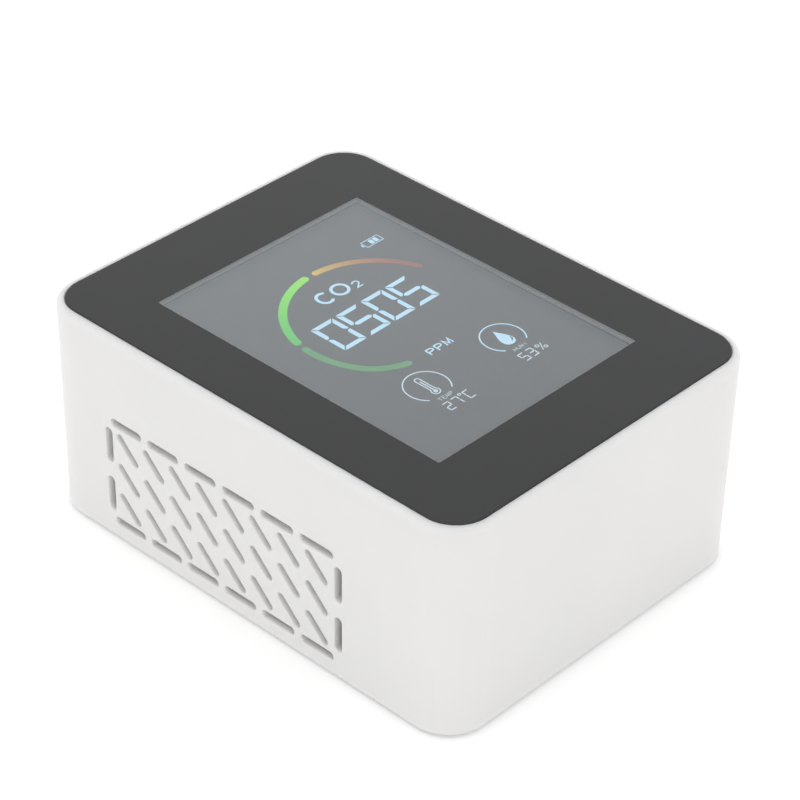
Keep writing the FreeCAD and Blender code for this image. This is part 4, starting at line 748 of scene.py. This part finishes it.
def gauge_material(name, strength):
    """A colour that depends on the angle round the gauge's centre. The radial pattern gives the angle as a
    share of a turn, counted from -X, which the ramp's stops are set to."""
    material, tree, shader, place = start_material(name, Emission_Strength=strength, Roughness=0.4)
    centre = on_panel(gauge_centre[None, :], 0.0)[0]
    centred = add(tree, "Mapping", {"vector_type": "TEXTURE"}, Vector=place, Location=centre.tolist())
    turned = add(tree, "Mapping", {"vector_type": "POINT"}, Vector=centred.outputs["Vector"],
                 Rotation=(0, 0, math.pi))
    angle = add(tree, "TexGradient", {"gradient_type": "RADIAL"}, Vector=turned.outputs["Vector"])
    ramp = tree.nodes.new("ShaderNodeValToRGB")
    stops = ramp.color_ramp.elements
    while len(stops) < len(GAUGE_COLOURS):
        stops.new(0.5)
    for stop, (degrees, colour) in zip(stops, GAUGE_COLOURS):
        stop.position = degrees / 360
        stop.color = (*colour, 1.0)
    feed(tree, angle.outputs["Fac"], ramp.inputs["Fac"])
    marks = use_group(tree, moulded_skin, place, Grain_Per_Metre=2600.0, Flow_Per_Metre=150.0)
    shaded = mixed(tree, ranged(tree, marks["Grain"], 0, 1, 0.08, 0.0), ramp.outputs["Color"], (0, 0, 0))
    feed(tree, shaded, shader["Emission Color"])
    feed(tree, mixed(tree, marks["Flow"], (0.05, 0.06, 0.07), (0.07, 0.08, 0.09)), shader["Base Color"])
    return material


bright_white = lit_material("bright_white", (0.50, 0.80, 1.0), 0.9)
soft_white = lit_material("soft_white", (0.60, 0.75, 0.85), 0.85)
dim_white = lit_material("dim_white", (0.60, 0.75, 0.85), 0.55)
gauge_light = gauge_material("gauge_light", 1.0)


def lit_piece(name, parts, material):
    """A lit mark: a flat-shaded piece that rides on the root body and wears the given material."""
    piece = make_piece(name, parts, smooth=False)
    piece.data.materials.append(material)
    return piece


# %% [markdown]
# ## The gas reading
# The gauge is one circle in three stretches with round ends. Four tall numerals stand across its middle, the
# gas's formula above them and the unit below.

# %% Light the gauge and the gas reading
gauge_parts = [round_ended(gauge_centre, gauge_radius, start, end, half_width, closing)
               for start, end, half_width, closing in ((15.6, 87.9, 0.68, 0.0), (92.2, 169.2, 0.78, 0.0),
                                                       (172.6, 244.6, 0.72, 1.25))]
lit_piece("gauge_ring", gauge_parts, gauge_light)

numeral_width, numeral_height, numeral_stroke, numeral_gap = 5.35, 8.4, 0.93, 0.16
reading = [part for sign, left in zip("0505", (-12.05, -5.9, 0.32, 6.5))
           for part in numeral(sign, left, 0.28, numeral_width, numeral_height, numeral_stroke, numeral_gap)]
lit_piece("gas_numerals", reading, bright_white)
lit_piece("gas_formula", letter("C", -4.6, 12.25, 2.85, 3.1, 0.30) + letter("O", -0.95, 12.25, 3.2, 3.1, 0.30)
          + letter("2", 3.3, 11.95, 1.35, 1.85, 0.15), bright_white)
lit_piece("gas_unit", word("PPM", -2.65, -11.05, 1.45, 1.6, 0.55, 0.145), bright_white)

# %% [markdown]
# ## The battery mark
# A thin frame with a nub on its left end, and two full bars.

# %% Light the battery mark
battery_centre = np.array([15.85, 20.4])
battery_frame = rounded_rectangle(2.05, 0.92, 0.08, 3) + battery_centre
battery_bars = [slab(rounded_rectangle(0.43, 0.62, 0.08, 3) + battery_centre + (offset, 0))
                for offset in (-0.22, 0.86)]
battery_nub = slab(rounded_rectangle(0.17, 0.38, 0.08, 3) + battery_centre + (-2.42, 0))
lit_piece("battery_mark", [ribbon(battery_frame, 0.08, closed=True), *battery_bars, battery_nub],
          bright_white)

# %% [markdown]
# ## The two small dials
# Each dial is a thin ring, open at the bottom, with a sign in it: a thermometer for warmth and a drop for
# damp. A drop's outline is the curve x = sin t times sin(t/2) to a power, y = cos t. The power makes the
# point sharp.

# %% Light the warmth dial
def small_ring(centre, radius):
    """A thin ring, open over a quarter turn at the bottom."""
    return ribbon(arc(centre, radius, -48, 228, 56), 0.125)


warm_centre = np.array([-9.9, -16.5])
tube_half, bulb_radius = 0.52, 0.82
bulb_centre = warm_centre + (0, -1.95)
tube_top = warm_centre + (0, 2.2)
opening = math.degrees(math.asin(tube_half / bulb_radius))
thermometer_outline = np.concatenate([arc(tube_top, tube_half, 0, 180, 10),
                                      arc(bulb_centre, bulb_radius, 90 + opening, 450 - opening, 24)])
lit_piece("warmth_dial", [small_ring(warm_centre, 4.15), ribbon(thermometer_outline, 0.11, closed=True),
                          slab(arc(bulb_centre, 0.42, 0, 350, 18)),
                          ribbon([bulb_centre, tube_top - (0, 0.5)], 0.13)], soft_white)
small_numeral = {"width": 1.45, "height": 2.35, "stroke": 0.24, "gap": 0.05}
degree_ring = ribbon(arc((-7.95, -21.95), 0.26, 0, 340, 16), 0.09, closed=True)
lit_piece("warmth_reading", numeral("2", -12.15, -24.1, **small_numeral)
          + numeral("7", -10.15, -24.1, **small_numeral) + [degree_ring]
          + numeral("C", -7.35, -24.1, **small_numeral), soft_white)
lit_piece("warmth_word", word("TEMP", -11.45, -21.05, 0.62, 0.8, 0.26, 0.08), dim_white)

# %% Light the damp dial
damp_centre = np.array([9.65, -16.2])
t = np.linspace(0, 2 * math.pi, 40, endpoint=False)
drop_outline = np.stack([-1.95 * np.sin(t) * np.sin(t / 2) ** 1.7, 2.45 * np.cos(t)], -1) + damp_centre
lit_piece("damp_dial", [small_ring(damp_centre, 4.05), slab(drop_outline)], bright_white)
shade_points = 12
shade_path = arc(damp_centre + (0, -0.75), 1.05, -75, 10, shade_points)
shade_widths = 0.15 * np.sin(np.linspace(0.25, math.pi - 0.25, shade_points))
shade_lift = 0.022 * MM    # just over the drop, which is 0.02 mm thick
lit_piece("drop_shade", [ribbon(shade_path, shade_widths, lift=shade_lift)], finishes["polarizer_film"])
percent = [ribbon(arc((11.75, -22.05), 0.33, 0, 340, 16), 0.09, closed=True),
           ribbon(arc((12.85, -23.15), 0.33, 0, 340, 16), 0.09, closed=True),
           ribbon([(11.75, -23.55), (12.9, -21.65)], 0.09)]
lit_piece("damp_reading", numeral("5", 7.2, -23.75, **small_numeral)
          + numeral("3", 9.15, -23.75, **small_numeral) + percent, soft_white)
lit_piece("damp_word", word("HUMI", 8.1, -20.45, 0.58, 0.7, 0.26, 0.08), dim_white)

# %% [markdown]
# ## The click dome
# Behind the power button, out of sight, a thin steel dome gives way when the button is pressed. It is a
# slice of a hollow ball, spun round the button's axis. Its rim sits on the switch's floor. It is made at
# rest, though at full press the real dome is flatter by the button's travel.

# %% Spin the dome
dome_low, dome_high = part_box("switch_dome")
dome_height = dome_high.x - dome_low.x
dome_rim = (dome_high.y - dome_low.y) / 2
ball_radius = (dome_rim ** 2 + dome_height ** 2) / (2 * dome_height)
ball_centre = dome_high.x - ball_radius
dome_axis = np.array([(dome_low.y + dome_high.y) / 2, (dome_low.z + dome_high.z) / 2])
dome_sheet = 0.1 * MM
round_angles = np.linspace(0, 2 * math.pi, 48, endpoint=False)


def dome_loops(radius, count=14):
    """Circles on a ball, from just off its crown to the dome's rim, each clockwise seen from the crown."""
    rim_lean = math.acos((dome_low.x - ball_centre) / radius)
    leans = np.linspace(0.02, rim_lean, count)[:, None]
    across = np.stack([np.cos(round_angles), -np.sin(round_angles)], -1) * radius * np.sin(leans)[:, :, None]
    along = np.broadcast_to(ball_centre + radius * np.cos(leans), across.shape[:2])
    return np.concatenate([along[:, :, None], across + dome_axis], -1)


dome_shell = np.concatenate([dome_loops(ball_radius), dome_loops(ball_radius - dome_sheet)[::-1]])
click_dome = make_piece("click_dome", [skin(dome_shell)])
click_dome.data.materials.append(finishes["socket_steel"])
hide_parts("switch_dome")
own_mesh(click_dome)
